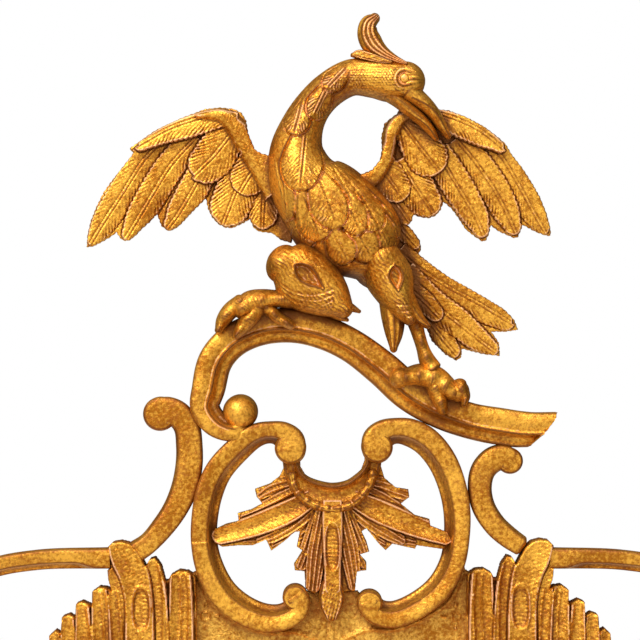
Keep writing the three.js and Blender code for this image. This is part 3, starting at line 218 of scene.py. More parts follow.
@dataclass
class Skin:
    """The vertices, faces and bend of one piece, gathered from closed grids."""

    points: list = field(default_factory=list)
    loops: list = field(default_factory=list)
    sizes: list = field(default_factory=list)
    bend: list = field(default_factory=list)
    count: int = 0

    def gather(self, points: Array, faces: Sequence[Array], bend: Array) -> "Skin":
        """Adds one closed surface. Its faces are turned outwards by the sign of the volume they hold.

        Args:
            points: vertices in millimetres, as (x, -out, z).
            faces: arrays of vertex numbers, each of one row length; a flat array is one face.
            bend: the bend at each vertex, for faces as given.

        Returns:
            The skin itself.
        """
        volume = 0.0
        middle = points.mean(0)
        for face in faces:
            corners = points[np.atleast_2d(face)] - middle
            for n in range(1, corners.shape[1] - 1):
                volume += (corners[:, 0] * np.cross(corners[:, n], corners[:, n + 1])).sum()
        turned = volume < 0
        for face in faces:
            face = np.atleast_2d(face)
            face = face[:, ::-1] if turned else face
            self.loops.append((face + self.count).ravel())
            self.sizes.append(np.full(len(face), face.shape[1]))
        self.points.append(points)
        self.bend.append(-bend if turned else bend)
        self.count += len(points)
        return self

    def tube(self, grid: Array, rub: float = 0.0) -> "Skin":
        """Adds a closed tube, from rings of points (stations, places round, 3), with a flat face at each end.

        Args:
            grid: the rings.
            rub: wear to add all over it.

        Returns:
            The skin itself.
        """
        m, k, _ = grid.shape
        i, j = np.arange(m - 1)[:, None] * k, np.arange(k)[None]
        n = (j + 1) % k
        quads = np.stack([i + j, i + n, i + k + n, i + k + j], -1).reshape(-1, 4)
        ends = [np.arange(k)[::-1], (m - 1) * k + np.arange(k)]
        bend = spread(bend_of(grid)).ravel()
        self.gather(grid.reshape(-1, 3), [quads, *ends], bend)
        self.bend[-1] = self.bend[-1] + rub
        return self

    def all_points(self) -> Array:
        """Every vertex, in millimetres."""
        return np.concatenate(self.points)

    def mesh(self, name: str, hollow: Array, sharp: float) -> bpy.types.Mesh:
        """Makes the Blender mesh, with the wear and the painted shade of each vertex as two attributes.

        Args:
            name: the mesh's name.
            hollow: how deep each vertex lies under its surroundings, from 0 to 1, used for painted shade.
            sharp: the angle in degrees past which an edge shades sharp.

        Returns:
            The mesh, in metres.
        """
        mesh = bpy.data.meshes.new(name)
        points, loops, sizes = (
            self.all_points() * 0.001, np.concatenate(self.loops), np.concatenate(self.sizes),
        )
        mesh.vertices.add(len(points))
        mesh.vertices.foreach_set("co", points.astype(np.float32).ravel())
        mesh.loops.add(len(loops))
        mesh.loops.foreach_set("vertex_index", loops.astype(np.int32))
        mesh.polygons.add(len(sizes))
        starts = np.concatenate([[0], np.cumsum(sizes)[:-1]]).astype(np.int32)
        mesh.polygons.foreach_set("loop_start", starts)
        mesh.update(calc_edges=True)
        mesh.validate()
        mesh.shade_smooth()
        mesh.set_sharp_from_angle(angle=np.radians(sharp))
        bend = np.concatenate(self.bend)
        # ridge marks worn edges; hollow, with concave bend added, marks where painted shade goes in recesses
        # and creases.
        for label, values in (("ridge", np.clip(0.75 * bend, 0, 1)), ("hollow", hollow)):
            values = np.clip(values + (np.clip(-0.9 * bend, 0, 1) if label == "hollow" else 0), 0, 1)
            made = mesh.attributes.new(label, "FLOAT", "POINT")
            made.data.foreach_set("value", values.astype(np.float32))
        return mesh


@dataclass(frozen=True)
class Section:
    """The front of a carved bar, as (across, height) from one edge to the other, height 1 being the front."""

    keys: Rows
    samples: int = 48
    tall: float = 2.4

    def profile(self) -> Array:
        """Even steps along the keys, with the corners eased by averaging each point with its neighbours."""
        keys = np.array(self.keys, float)
        run = np.concatenate([[0.0], np.cumsum(np.hypot(*(np.diff(keys, axis=0) * (1, self.tall)).T))])
        at = np.linspace(0, run[-1], self.samples)
        line = np.stack([np.interp(at, run, column) for column in keys.T], axis=1)
        for _ in range(2):
            line[1:-1] = 0.5 * line[1:-1] + 0.25 * (line[2:] + line[:-2])
        return line


FLAT_FACE = Section(
    (
        (-1, 0.03), (-1, 0.8), (-0.97, 0.93), (-0.88, 0.985), (-0.4, 1.0), (0.3, 1.0), (0.72, 0.985),
        (0.82, 0.93), (0.88, 0.8), (0.94, 0.5), (1, 0.3), (1, 0.03),
    ),
    64,
)
FACE_AND_COVE = Section(
    (
        (-1, 0.03), (-1, 0.84), (-0.975, 0.95), (-0.9, 0.99), (-0.6, 1.0), (-0.2, 0.98), (0.1, 0.95),
        (0.22, 0.945), (0.28, 0.955), (0.32, 0.93), (0.36, 0.8), (0.42, 0.6), (0.52, 0.44), (0.66, 0.34),
        (0.82, 0.29), (0.96, 0.28), (1, 0.22), (1, 0.03),
    ),
    64,
)
FACE_AND_FILLET = Section(
    (
        (-1, 0.03), (-1, 0.76), (-0.965, 0.9), (-0.86, 0.965), (-0.5, 1.0), (-0.15, 0.99), (0.0, 0.95),
        (0.06, 0.93), (0.11, 0.97), (0.18, 1.03), (0.25, 1.0), (0.29, 0.9), (0.33, 0.8), (0.42, 0.71),
        (0.54, 0.66), (0.68, 0.65), (0.8, 0.68), (0.88, 0.71), (0.95, 0.68), (1, 0.5), (1, 0.03),
    ),
    80,
)
HALF_ROUND = Section(
    (
        (-1, 0.03), (-0.99, 0.3), (-0.95, 0.46), (-0.86, 0.62), (-0.72, 0.77), (-0.52, 0.89), (-0.27, 0.97),
        (0, 1.0), (0.27, 0.97), (0.52, 0.89), (0.72, 0.77), (0.86, 0.62), (0.95, 0.46), (0.99, 0.3),
        (1, 0.03),
    ),
    48,
    1.2,
)
RIB = Section(
    (
        (-1, 0.02), (-1, 0.5), (-0.95, 0.72), (-0.8, 0.87), (-0.5, 0.96), (0, 1.0), (0.5, 0.96), (0.8, 0.87),
        (0.95, 0.72), (1, 0.5), (1, 0.02),
    ),
    60,
    1.2,
)


def rounded(line: Array, start: float, end: float) -> Array:
    """Closes the ends of a line of stations.

    Formula: past an end the half width shrinks as a quarter ellipse, cos(a), while the line goes on by reach
    * half width * sin(a), and the front sinks with it.

    Args:
        line: stations of x, z, half width, back and front.
        start: the reach of the first end in half widths, 0 for a square cut.
        end: the same for the last end.

    Returns:
        The line with up to nine stations more at each end.
    """

    def cap(at: Array, before: Array, reach: float) -> Array:
        """The stations past one end."""
        way = (at[:2] - before[:2]) / (np.linalg.norm(at[:2] - before[:2]) + 1e-9)
        angle = np.linspace(0, np.pi / 2, 10)[1:]
        more = np.repeat(at[None], len(angle), 0)
        more[:, :2] += way * at[2] * reach * np.sin(angle)[:, None]
        more[:, 2] *= np.maximum(np.cos(angle), 0.04)
        more[:, 4] = at[3] + (at[4] - at[3]) * (0.25 + 0.75 * np.cos(angle) ** 0.7)
        return more

    parts = [line]
    if start > 0:
        parts.insert(0, cap(line[0], line[1], start)[::-1])
    if end > 0:
        parts.append(cap(line[-1], line[-2], end))
    return np.vstack(parts)


def loft(
    rows: Array,
    section: Section,
    step: float = 0.7,
    ends: tuple = (0.0, 0.0),
    flip: int = 1,
    detail: Optional[Detail] = None,
    serration: Optional[tuple] = None,
    melt: tuple = (0.0, 0.0),
) -> Array:
    """Carries a section along a smooth line of stations.

    Formula: place(t, s) = line(t) + flip * s * half(t) * normal(t), and out(t, s) = back(t) + height(s) *
    (front(t) - back(t)) + detail(t, s) + the carver's unevenness. The back is flat.

    Args:
        rows: stations of x, z, half width, back and front, in millimetres.
        section: the front's profile.
        step: the distance between stations.
        ends: how far each end closes beyond the last station, in half widths.
        flip: 1 if the profile starts at the right of the way of travel, -1 at its left.
        detail: what is carved on the front, from (run, across, half width, x, z).
        serration: (pitch, share) of small notches along both edges.
        melt: the lengths at each end over which the section turns into a plain flat face.

    Returns:
        A grid of rings, (stations, places round, 3).
    """
    rows = np.asarray(rows, float)
    length = np.linalg.norm(np.diff(rows[:, :2], axis=0), axis=1).sum()
    line = rounded(spline(rows, max(8, int(length / step))), *ends)
    run = np.concatenate([[0.0], np.cumsum(np.linalg.norm(np.diff(line[:, :2], axis=0), axis=1))])
    if serration:
        line[:, 2] *= 1 + serration[1] * (np.abs(np.sin(np.pi * run / serration[0])) - 0.6)
    x, z, half, back, front = line.T
    way = np.gradient(line[:, :2], axis=0)
    way /= np.linalg.norm(way, axis=1, keepdims=True) + 1e-9
    nx, nz = -way[:, 1:] * flip, way[:, :1] * flip
    s, height = section.profile().T
    s, height = s[None, :] + 0 * x[:, None], height[None, :] + 0 * x[:, None]
    if any(melt):
        plain_s, plain_height = Section(FLAT_FACE.keys, section.samples).profile().T
        share = 1 - ramp(run, 0.35 * melt[0], melt[0] + 1e-6) * ramp(
            run[-1] - run, 0.35 * melt[1], melt[1] + 1e-6,
        )
        s = s + (plain_s - s) * share[:, None]
        height = height + (plain_height - height) * share[:, None]
    across = half[:, None] * s
    px, pz = x[:, None] + nx * across, z[:, None] + nz * across
    out = back[:, None] + (front - back)[:, None] * height + hand(px, pz)
    if detail is not None:
        out = out + detail(run[:, None] + 0 * across, across, half[:, None] + 0 * across, px, pz)
    out = np.maximum(out, back[:, None] + 0.3)
    top = np.stack([px, -out, pz], -1)
    under = half[:, None] * np.linspace(1, -1, 5)[None, :]
    flat = np.broadcast_to(-back[:, None], under.shape)
    foot = np.stack([x[:, None] + nx * under, flat, z[:, None] + nz * under], -1)
    return np.concatenate([top, foot], axis=1)


def volute(row: Sequence[float], dome: float = 0.05, crease: float = 0.0) -> Array:
    """A round boss at a bar's end.

    Formula: height(r) = (1 - dome) + dome * sqrt(1 - r^2), with the rim eased by a quarter ellipse over the
    last sixth, and a crease exp(-((r - 0.86) / 0.06)^2) just inside the rim.

    Args:
        row: x, z, radius, back and front.
        dome: the share of the height that is domed.
        crease: the crease's depth.

    Returns:
        A grid of rings.
    """
    x, z, radius, back, front = row
    share = np.sin(np.linspace(0.02, 1, 34) * np.pi / 2)[:, None]
    angle = np.linspace(0, 2 * np.pi, 96, endpoint=False)[None, :]
    px, pz = x + radius * share * np.cos(angle), z + radius * share * np.sin(angle)
    rim = np.clip((share - 0.84) / 0.16, 0, 1)
    height = 1 - dome + dome * np.sqrt(1 - 0.98 * share**2) - 0.2 * (1 - np.sqrt(1 - 0.985 * rim**2))
    out = back + (front - back) * height - crease * np.exp(-(((share - 0.86) / 0.06) ** 2)) + hand(px, pz)
    top = np.stack([px, -out, pz], -1)
    foot = top[-1:].copy()
    foot[..., 1] = -back
    return np.concatenate([top, foot])


def turned(profile: Rows, centre: Sequence[float], spokes: int = 56) -> Array:
    """A solid turned about a vertical: rings of the profile's (radius, height) points round centre (x, out,
    z)."""
    radius, height = np.asarray(profile, float).T
    angle = np.linspace(0, 2 * np.pi, spokes, endpoint=False)[None, :]
    radius = np.maximum(radius, 0.05)[:, None]
    place = (centre[0] + radius * np.cos(angle), -centre[1] + radius * np.sin(angle))
    return np.stack([*place, np.broadcast_to(centre[2] + height[:, None], place[0].shape)], -1)


def frilled(outline: Array, pitch: float, depth: float, step: float = 0.5) -> Array:
    """An outline with small scallops: depth * (|sin(pi run / pitch)| - 0.6) along its normal, at even
    steps."""
    ring = np.vstack([outline, outline[:1]])
    run = np.concatenate([[0.0], np.cumsum(np.hypot(*np.diff(ring, axis=0).T))])
    at = np.arange(0, run[-1], step)
    line = np.stack([np.interp(at, run, column) for column in ring.T], axis=1)
    way = np.roll(line, -2, 0) - np.roll(line, 2, 0)
    way /= np.linalg.norm(way, axis=1, keepdims=True) + 1e-9
    lap = np.roll(line, -1, 0)
    area = (line[:, 0] * lap[:, 1] - lap[:, 0] * line[:, 1]).sum()
    normal = np.stack([way[:, 1], -way[:, 0]], axis=1) * np.sign(area)
    wave = np.abs(np.sin(np.pi * at / pitch + 0.6 * np.sin(0.23 * at))) - 0.6
    return line + normal * (depth * wave)[:, None]


@dataclass(frozen=True)
class Board:
    """A flat board in relief, cut to an outline.

    Formula: on a square grid, a vertex outside the outline or just inside it moves to the outline's nearest
    point, and the cells whose middle is inside stay. The front is height(x, z) with its edge eased by a
    quarter round, and the back is flat.
    """

    outline: Array
    back: float
    cell: float = 0.8
    ease: float = 2.0

    def inside(self, gx: Array, gz: Array) -> Array:
        """Whether the points of a grid, given by its two axes, lie inside: an odd number of sides to the
        right."""
        kept = np.zeros((len(gx), len(gz)), bool)
        for (ax, az), (bx, bz) in zip(self.outline, np.roll(self.outline, -1, 0)):
            rows = np.nonzero((az > gz) != (bz > gz))[0]
            if len(rows):
                cross = ax + (gz[rows] - az) * (bx - ax) / (bz - az)
                kept[:, rows] ^= gx[:, None] < cross[None, :]
        return kept

    def nearest(self, gx: Array, gz: Array) -> tuple:
        """The distance to the outline and its nearest point, for grid points close to it."""
        best = np.full((len(gx), len(gz)), 1e3)
        near_x, near_z = np.meshgrid(gx, gz, indexing="ij")
        reach = self.ease + 3 * self.cell
        for a, b in zip(self.outline, np.roll(self.outline, -1, 0)):
            low, high = np.minimum(a, b) - reach, np.maximum(a, b) + reach
            i = slice(*np.searchsorted(gx, (low[0], high[0])))
            j = slice(*np.searchsorted(gz, (low[1], high[1])))
            x, z = gx[i, None], gz[None, j]
            way = b - a
            t = np.clip(((x - a[0]) * way[0] + (z - a[1]) * way[1]) / (way @ way + 1e-12), 0, 1)
            qx, qz = a[0] + t * way[0], a[1] + t * way[1]
            gap = np.hypot(x - qx, z - qz)
            closer = gap < best[i, j]
            best[i, j] = np.where(closer, gap, best[i, j])
            near_x[i, j] = np.where(closer, qx, near_x[i, j])
            near_z[i, j] = np.where(closer, qz, near_z[i, j])
        return best, near_x, near_z

    def into(self, skin: Skin, height: Callable[[Array, Array], Array]) -> None:
        """Adds the board to a skin, its front given by height(x, z) in millimetres out."""
        low, high = self.outline.min(0) - self.cell, self.outline.max(0) + self.cell
        gx, gz = (np.arange(a, b, self.cell) for a, b in zip(low, high))
        x, z = np.meshgrid(gx, gz, indexing="ij")
        gap, near_x, near_z = self.nearest(gx, gz)
        snap = ~self.inside(gx, gz) | (gap < 0.3 * self.cell)
        x, z = np.where(snap, near_x, x), np.where(snap, near_z, z)
        gap = np.where(snap, 0.0, gap)
        kept = self.inside(gx[:-1] + self.cell / 2, gz[:-1] + self.cell / 2)
        edge = np.clip(1 - gap / self.ease, 0, 1)
        out = height(x, z) + 0.6 * hand(x, z) - self.ease * (1 - np.sqrt(1 - edge**2))
        out = np.maximum(out, self.back + 0.4)
        number = np.arange(x.size).reshape(x.shape)
        a, b = number[:-1, :-1], number[1:, :-1]
        c, d = number[1:, 1:], number[:-1, 1:]
        top = np.stack([a, b, c, d], -1)[kept]
        walls = []
        room = np.pad(kept, 1)
        sides = (
            (room[1:-1, :-2], a, b), (room[2:, 1:-1], b, c), (room[1:-1, 2:], c, d), (room[:-2, 1:-1], d, a)
        )
        for beyond, start, end in sides:
            open_side = kept & ~beyond
            first, last = start[open_side], end[open_side]
            walls.append(np.stack([first, first + x.size, last + x.size, last], -1))
        faces = np.concatenate([top, top[:, ::-1] + x.size, *walls])
        points = np.concatenate(
            [
                np.stack([x, -out, z], -1).reshape(-1, 3),
                np.stack([x, 0 * x - self.back, z], -1).reshape(-1, 3),
            ]
        )
        soft = spread(out, 2)
        curve = np.zeros(x.shape)
        curve[1:-1, 1:-1] = (
            4 * soft[1:-1, 1:-1] - soft[2:, 1:-1] - soft[:-2, 1:-1] - soft[1:-1, 2:] - soft[1:-1, :-2]
        )
        curve = np.where(gap > 2 * self.cell, 0.38 * curve / self.cell**2, 0.4)
        used, faces = np.unique(faces, return_inverse=True)
        bend = np.concatenate([curve.ravel(), 0 * curve.ravel()])
        turned_in = -bend if self.front_is_down(points, top[0]) else bend
        skin.gather(points[used], [faces.reshape(-1, 4)], turned_in[used])

    @staticmethod
    def front_is_down(points: Array, face: Array) -> bool:
        """Whether a front face, as it is numbered, points towards the wall."""
        a, b, c = points[face[0]], points[face[1]], points[face[2]]
        return bool(np.cross(b - a, c - a)[1] > 0)


# ----------------------------------------------------------------------------------------------------------
# What the carver cuts on a surface
# ----------------------------------------------------------------------------------------------------------


@dataclass(frozen=True)
class Barbs:
    """A feather's web: a quill between two fine cuts, and slanting rounded barbs out to both edges.

    Formula: barb = |sin(pi * (run - lean * |across|) / pitch + wander)|^0.6 - 1, deeper towards the edge and
    shallower on the calm side; the quill is strip * exp(-(across / 0.6)^2) between two cuts of 0.45 mm; the
    web tilts by tilt * across / half and sinks towards its edges by sag.
    """

    pitch: float = 4.0
    depth: float = 1.2
    lean: float = 1.7
    strip: float = 0.15
    tilt: float = 0.0
    sag: float = 0.5
    quill: tuple = (2.0, 1e9)
    calm: int = 0

    def __call__(self, run: Array, across: Array, half: Array, x: Array, z: Array) -> Array:
        """The carving's depth at each point."""
        side = np.abs(across)
        share = side / (half + 1e-6)
        wander = 0.5 * np.sin(0.21 * run + 0.9) + 0.35 * np.sin(0.47 * run + 0.3 * across)
        barb = np.abs(np.sin(np.pi * (run - self.lean * side) / self.pitch + wander)) ** 0.6 - 1
        weight = ramp(side, 1.2, 3.6) * (0.2 + 0.8 * ramp(share, 0.3, 0.85))
        weight = np.where(across * self.calm > 0, 0.3 * weight, weight)
        uneven = 0.8 + 0.35 * np.sin(0.29 * run + 0.13 * z) + 0.25 * np.sin(0.8 * run - 0.45 * x)
        fade = ramp(run, 0, self.quill[0]) * (1 - ramp(run, self.quill[1] - 8, self.quill[1]))
        quill = self.strip * np.exp(-((across / 0.6) ** 2)) - 0.6 * np.exp(-(((side - 1.1) / 0.45) ** 2))
        shape = self.tilt * across / (half + 1e-6) - self.sag * share**2
        return self.depth * barb * weight * uneven + quill * fade + shape


@dataclass(frozen=True)
class Swell:
    """A plain rounded back: height * sqrt(1 - (across / half)^2), with a fine stipple."""

    height: float = 4.0

    def __call__(self, run: Array, across: Array, half: Array, x: Array, z: Array) -> Array:
        """The height at each point."""
        share = np.clip(np.abs(across) / (half + 1e-6), 0, 1)
        return (
            self.height * np.sqrt(1 - share**2)
            + 0.08 * np.sin(2.3 * x + 1.1 * z) * np.sin(2.0 * z - 0.9 * x)
        )


@dataclass(frozen=True)
class Scoop:
    """A hollow between two raised rims: rim * exp(-((share - 0.84) / 0.1)^2) - depth * cos(pi / 2 * share /
    0.8)."""

    depth: float = 1.8
    rim: float = 1.0

    def __call__(self, run: Array, across: Array, half: Array, x: Array, z: Array) -> Array:
        """The depth at each point."""
        share = np.abs(across) / (half + 1e-6)
        hollow = self.depth * np.cos(0.5 * np.pi * np.clip(share / 0.8, 0, 1))
        stroke = 0.12 * np.sin(2.6 * z + 0.8 * np.sin(0.7 * x)) * np.sin(0.9 * x + 0.2 * z)
        return self.rim * np.exp(-(((share - 0.84) / 0.1) ** 2)) - hollow + stroke


@dataclass(frozen=True)
class Flutes:
    """Round hollows along a petal, with sharp ridges between them and ripples across.

    Formula: flutes = -depth * |sin(pi * count * across / (2 * half))|^1.2, ripples = height * a sine of run /
    pitch.
    """

    count: int = 3
    depth: float = 1.3
    pitch: float = 2.2
    height: float = 0.03

    def __call__(self, run: Array, across: Array, half: Array, x: Array, z: Array) -> Array:
        """The carving's depth at each point."""
        share = across / (half + 1e-6)
        wave = np.abs(np.sin(0.5 * np.pi * self.count * (share + 1)))
        flute = -self.depth * wave**1.2 * np.minimum(1, half / 3.0)
        bow = 2 * np.pi * run / self.pitch + 1.5 * share**2 + 0.8 * np.sin(0.2 * x + 0.3 * z)
        return flute + self.height * np.sin(bow)


@dataclass(frozen=True)
class Ripples:
    """Wavy tool strokes across a surface, at a slant.

    Formula: height * sin(2 pi (z * cos + x * sin) / pitch + sway * sin(...)).
    """

    pitch: float = 2.6
    height: float = 0.25
    slant: float = 0.0
    sway: float = 1.2

    def __call__(self, run: Array, across: Array, half: Array, x: Array, z: Array) -> Array:
        """The strokes' height at each point."""
        way = z * np.cos(self.slant) + x * np.sin(self.slant)
        side = x * np.cos(self.slant) - z * np.sin(self.slant)
        wave = np.sin(
            2 * np.pi * way / self.pitch + self.sway * np.sin(0.55 * side) + 0.7 * np.sin(0.31 * way),
        )
        return self.height * wave


@dataclass(frozen=True)
class Cut:
    """A drawn line cut into a surface, or raised on it where depth is positive: depth *
    exp(-(distance/width)^2)."""

    points: Rows
    depth: float = -0.9
    width: float = 0.7

    def __call__(self, run: Array, across: Array, half: Array, x: Array, z: Array) -> Array:
        """The line's depth at each point."""
        rows = DRAWING.rows(self.points)
        path = spline(rows, max(12, int(np.linalg.norm(np.diff(rows, axis=0), axis=1).sum() / 0.35)))
        low, high = path.min(0) - 3 * self.width, path.max(0) + 3 * self.width
        close = (x > low[0]) & (x < high[0]) & (z > low[1]) & (z < high[1])
        out = np.zeros(np.shape(x))
        if close.any():
            out[close] = self.depth * np.exp(-((near(x[close], z[close], path) / self.width) ** 2))
        return out


@dataclass(frozen=True)
class Together:
    """Several carvings on one surface, added up."""

    parts: tuple

    def __call__(self, run: Array, across: Array, half: Array, x: Array, z: Array) -> Array:
        """The sum of the carvings."""
        return sum(part(run, across, half, x, z) for part in self.parts)


@dataclass(frozen=True)
class Oval:
    """A shape along an axis from a base to a tip, with the base's end and the tip each rounded or pointed."""

    base: tuple
    tip: tuple
    half: float

    def frame(self, x: Array, z: Array) -> tuple:
        """The share of the way along, the distance to the side and the length, in millimetres."""
        (x0, z0), (x1, z1) = DRAWING.rows([self.base, self.tip])
        long = np.hypot(x1 - x0, z1 - z0)
        ux, uz = (x1 - x0) / long, (z1 - z0) / long
        return ((x - x0) * ux + (z - z0) * uz) / long, (z - z0) * ux - (x - x0) * uz, long


@dataclass(frozen=True)
class Plume(Oval):
    """One small feather lying on the body like a tile.

    Formula: along its axis t runs from 0 to 1, its half width grows as the root of t and closes as an
    ellipse, and the plate stands lift * (0.15 + 0.85 t) proud, with a quill, and barbs towards its tip.
    """

    lift: float = 2.5

    def over(self, level: Array, x: Array, z: Array) -> Array:
        """Lays the feather over what is already there, with a fine cut round it."""
        t, side, long = self.frame(x, z)
        inside_t = np.clip(t, 1e-4, 1)
        grow = np.sqrt(np.minimum(inside_t / 0.6, 1.0))
        shut = np.sqrt(np.clip(1 - (np.clip(inside_t - 0.6, 0, 1) / 0.4) ** 2, 0, 1))
        width = self.half * DRAWING.unit * grow * shut
        gap = np.where(t < 0, t * long, width - np.abs(side))
        gap = np.where(t > 0.97, np.minimum(gap, (1 - t) * long), gap)
        rise = self.lift * (0.15 + 0.85 * inside_t) * ramp(gap, 0.0, 0.9)
        part = ((t * long - 1.2 * np.abs(side)) / 3.1 + 0.3 * np.sin(0.5 * x) + 0.2 * np.sin(0.9 * z)) % 1.0
        barb = 0.7 * (ramp(part, 0, 0.6) - ramp(part, 0.7, 1) - 1) * ramp(np.abs(side), 0.9, 3.2)
        barb = barb * (0.12 + 0.88 * ramp(inside_t, 0.4, 0.8))
        quill = 0.35 * np.exp(-((side / 0.5) ** 2)) - 0.7 * np.exp(-(((np.abs(side) - 1.1) / 0.45) ** 2))
        plate = rise + (
            barb + quill * ramp(inside_t, 0.08, 0.3) * (1 - ramp(inside_t, 0.8, 0.95))
        ) * ramp(gap, 0.2, 1.2)
        cut = level - 2.1 * np.exp(-((np.minimum(gap, 0) / 0.9) ** 2)) * ramp(t, 0.1, 0.35)
        return np.where(gap > 0, plate, cut)


@dataclass(frozen=True)
class Plumage:
    """Feathers laid one over another, the first lowest."""

    plumes: tuple

    def __call__(self, run: Array, across: Array, half: Array, x: Array, z: Array) -> Array:
        """The height of the uppermost feather at each point."""
        level = np.zeros(np.shape(x))
        for plume in self.plumes:
            level = plume.over(level, x, z)
        return level


@dataclass(frozen=True)
class Recess(Oval):
    """A pointed oval or a drop sunk in a surface, with a raised rim.

    Formula: half width = half * sin(pi t^blunt)^0.7; -depth inside, and rim * exp(-((gap + 0.7) / 0.7)^2)
    round it.
    """

    depth: float = 3.0
    rim: float = 0.8
    blunt: float = 1.0

    def __call__(self, run: Array, across: Array, half: Array, x: Array, z: Array) -> Array:
        """The carving's depth at each point."""
        t, side, long = self.frame(x, z)
        width = self.half * DRAWING.unit * np.sin(np.pi * np.clip(t, 0, 1) ** self.blunt) ** 0.7
        gap = np.where(
            (t > 0) & (t < 1), width - np.abs(side), -np.hypot(side, (np.abs(t - 0.5) - 0.5) * long),
        )
        return self.rim * np.exp(-(((gap + 0.7) / 0.7) ** 2)) - self.depth * ramp(gap, 0.0, 1.6)


@dataclass(frozen=True)
class Basin:
    """An upright hollow with round ends and a raised lip.

    Formula: r = (|u / a|^2.6 + |v / b|^2.6)^(1 / 2.6); -depth and fine strokes where r < 0.72, lip at r = 1.
    """

    centre: tuple
    size: tuple
    depth: float = 1.6
    lip: float = 1.0

    def __call__(self, run: Array, across: Array, half: Array, x: Array, z: Array) -> Array:
        """The carving's depth at each point."""
        ((cx, cz),) = DRAWING.rows([self.centre])
        wide, tall = (side * DRAWING.unit for side in self.size)
        r = (np.abs((x - cx) / wide) ** 2.6 + np.abs((z - cz) / tall) ** 2.6) ** (1 / 2.6)
        strokes = 0.12 * np.sin(2.4 * (z - cz) + 0.05 * (x - cx) ** 2)
        return (strokes - self.depth) * (1 - ramp(r, 0.72, 0.95)) + self.lip * np.exp(
            -(((r - 1) / 0.09) ** 2),
        )


@dataclass(frozen=True)
class Rings:
    """Rings about a point, each of (radius, width, height) in drawing units and millimetres."""

    centre: tuple
    rings: Rows

    def __call__(self, run: Array, across: Array, half: Array, x: Array, z: Array) -> Array:
        """The sum of height * exp(-((r - radius) / width)^2)."""
        ((cx, cz),) = DRAWING.rows([self.centre])
        r = np.hypot(x - cx, z - cz) / DRAWING.unit
        return sum(height * np.exp(-(((r - radius) / width) ** 2)) for radius, width, height in self.rings)


@dataclass(frozen=True)
class Punches:
    """A patch of small punched dots.

    Formula: on a lattice of one pitch with every other row shifted by half, -depth * exp(-(r / 0.3 pitch)^2),
    within a soft ellipse.
    """

    centre: tuple
    size: tuple
    pitch: float = 2.3
    depth: float = 0.5

    def __call__(self, run: Array, across: Array, half: Array, x: Array, z: Array) -> Array:
        """The depth of the dots at each point."""
        ((cx, cz),) = DRAWING.rows([self.centre])
        rx, rz = (v * DRAWING.unit for v in self.size)
        patch = 1 - ramp(np.hypot((x - cx) / rx, (z - cz) / rz), 0.75, 1.05)
        row = np.round(z / (0.87 * self.pitch))
        u = x / self.pitch + 0.5 * (row % 2)
        gap = np.hypot(u - np.round(u), z / self.pitch - 0.87 * row)
        return -self.depth * np.exp(-((gap / 0.3) ** 2)) * patch


@dataclass(frozen=True)
class Flower:
    """A stamped flower: a ring with a lozenge at each of its four sides."""

    centre: tuple
    reach: float = 11.6
    height: float = 1.5

    def __call__(self, run: Array, across: Array, half: Array, x: Array, z: Array) -> Array:
        """The flower's height: a ring exp(-((r - 4.3) / 1.2)^2), and a soft-edged lozenge for each petal."""
        ((cx, cz),) = DRAWING.rows([self.centre])
        u, v = (x - cx) / DRAWING.unit, (z - cz) / DRAWING.unit
        level = np.exp(-(((np.hypot(u, v) - 4.0) / 1.1) ** 2))
        for a, b, long, high in ((1, 0, 3.6, 1.9), (-1, 0, 3.6, 1.9), (0, 1, 1.9, 3.6), (0, -1, 1.9, 3.6)):
            lozenge = np.abs(u - a * self.reach) / long + np.abs(v - b * self.reach) / high
            level = level + 1 - ramp(lozenge, 0.7, 1.15)
        return self.height * level


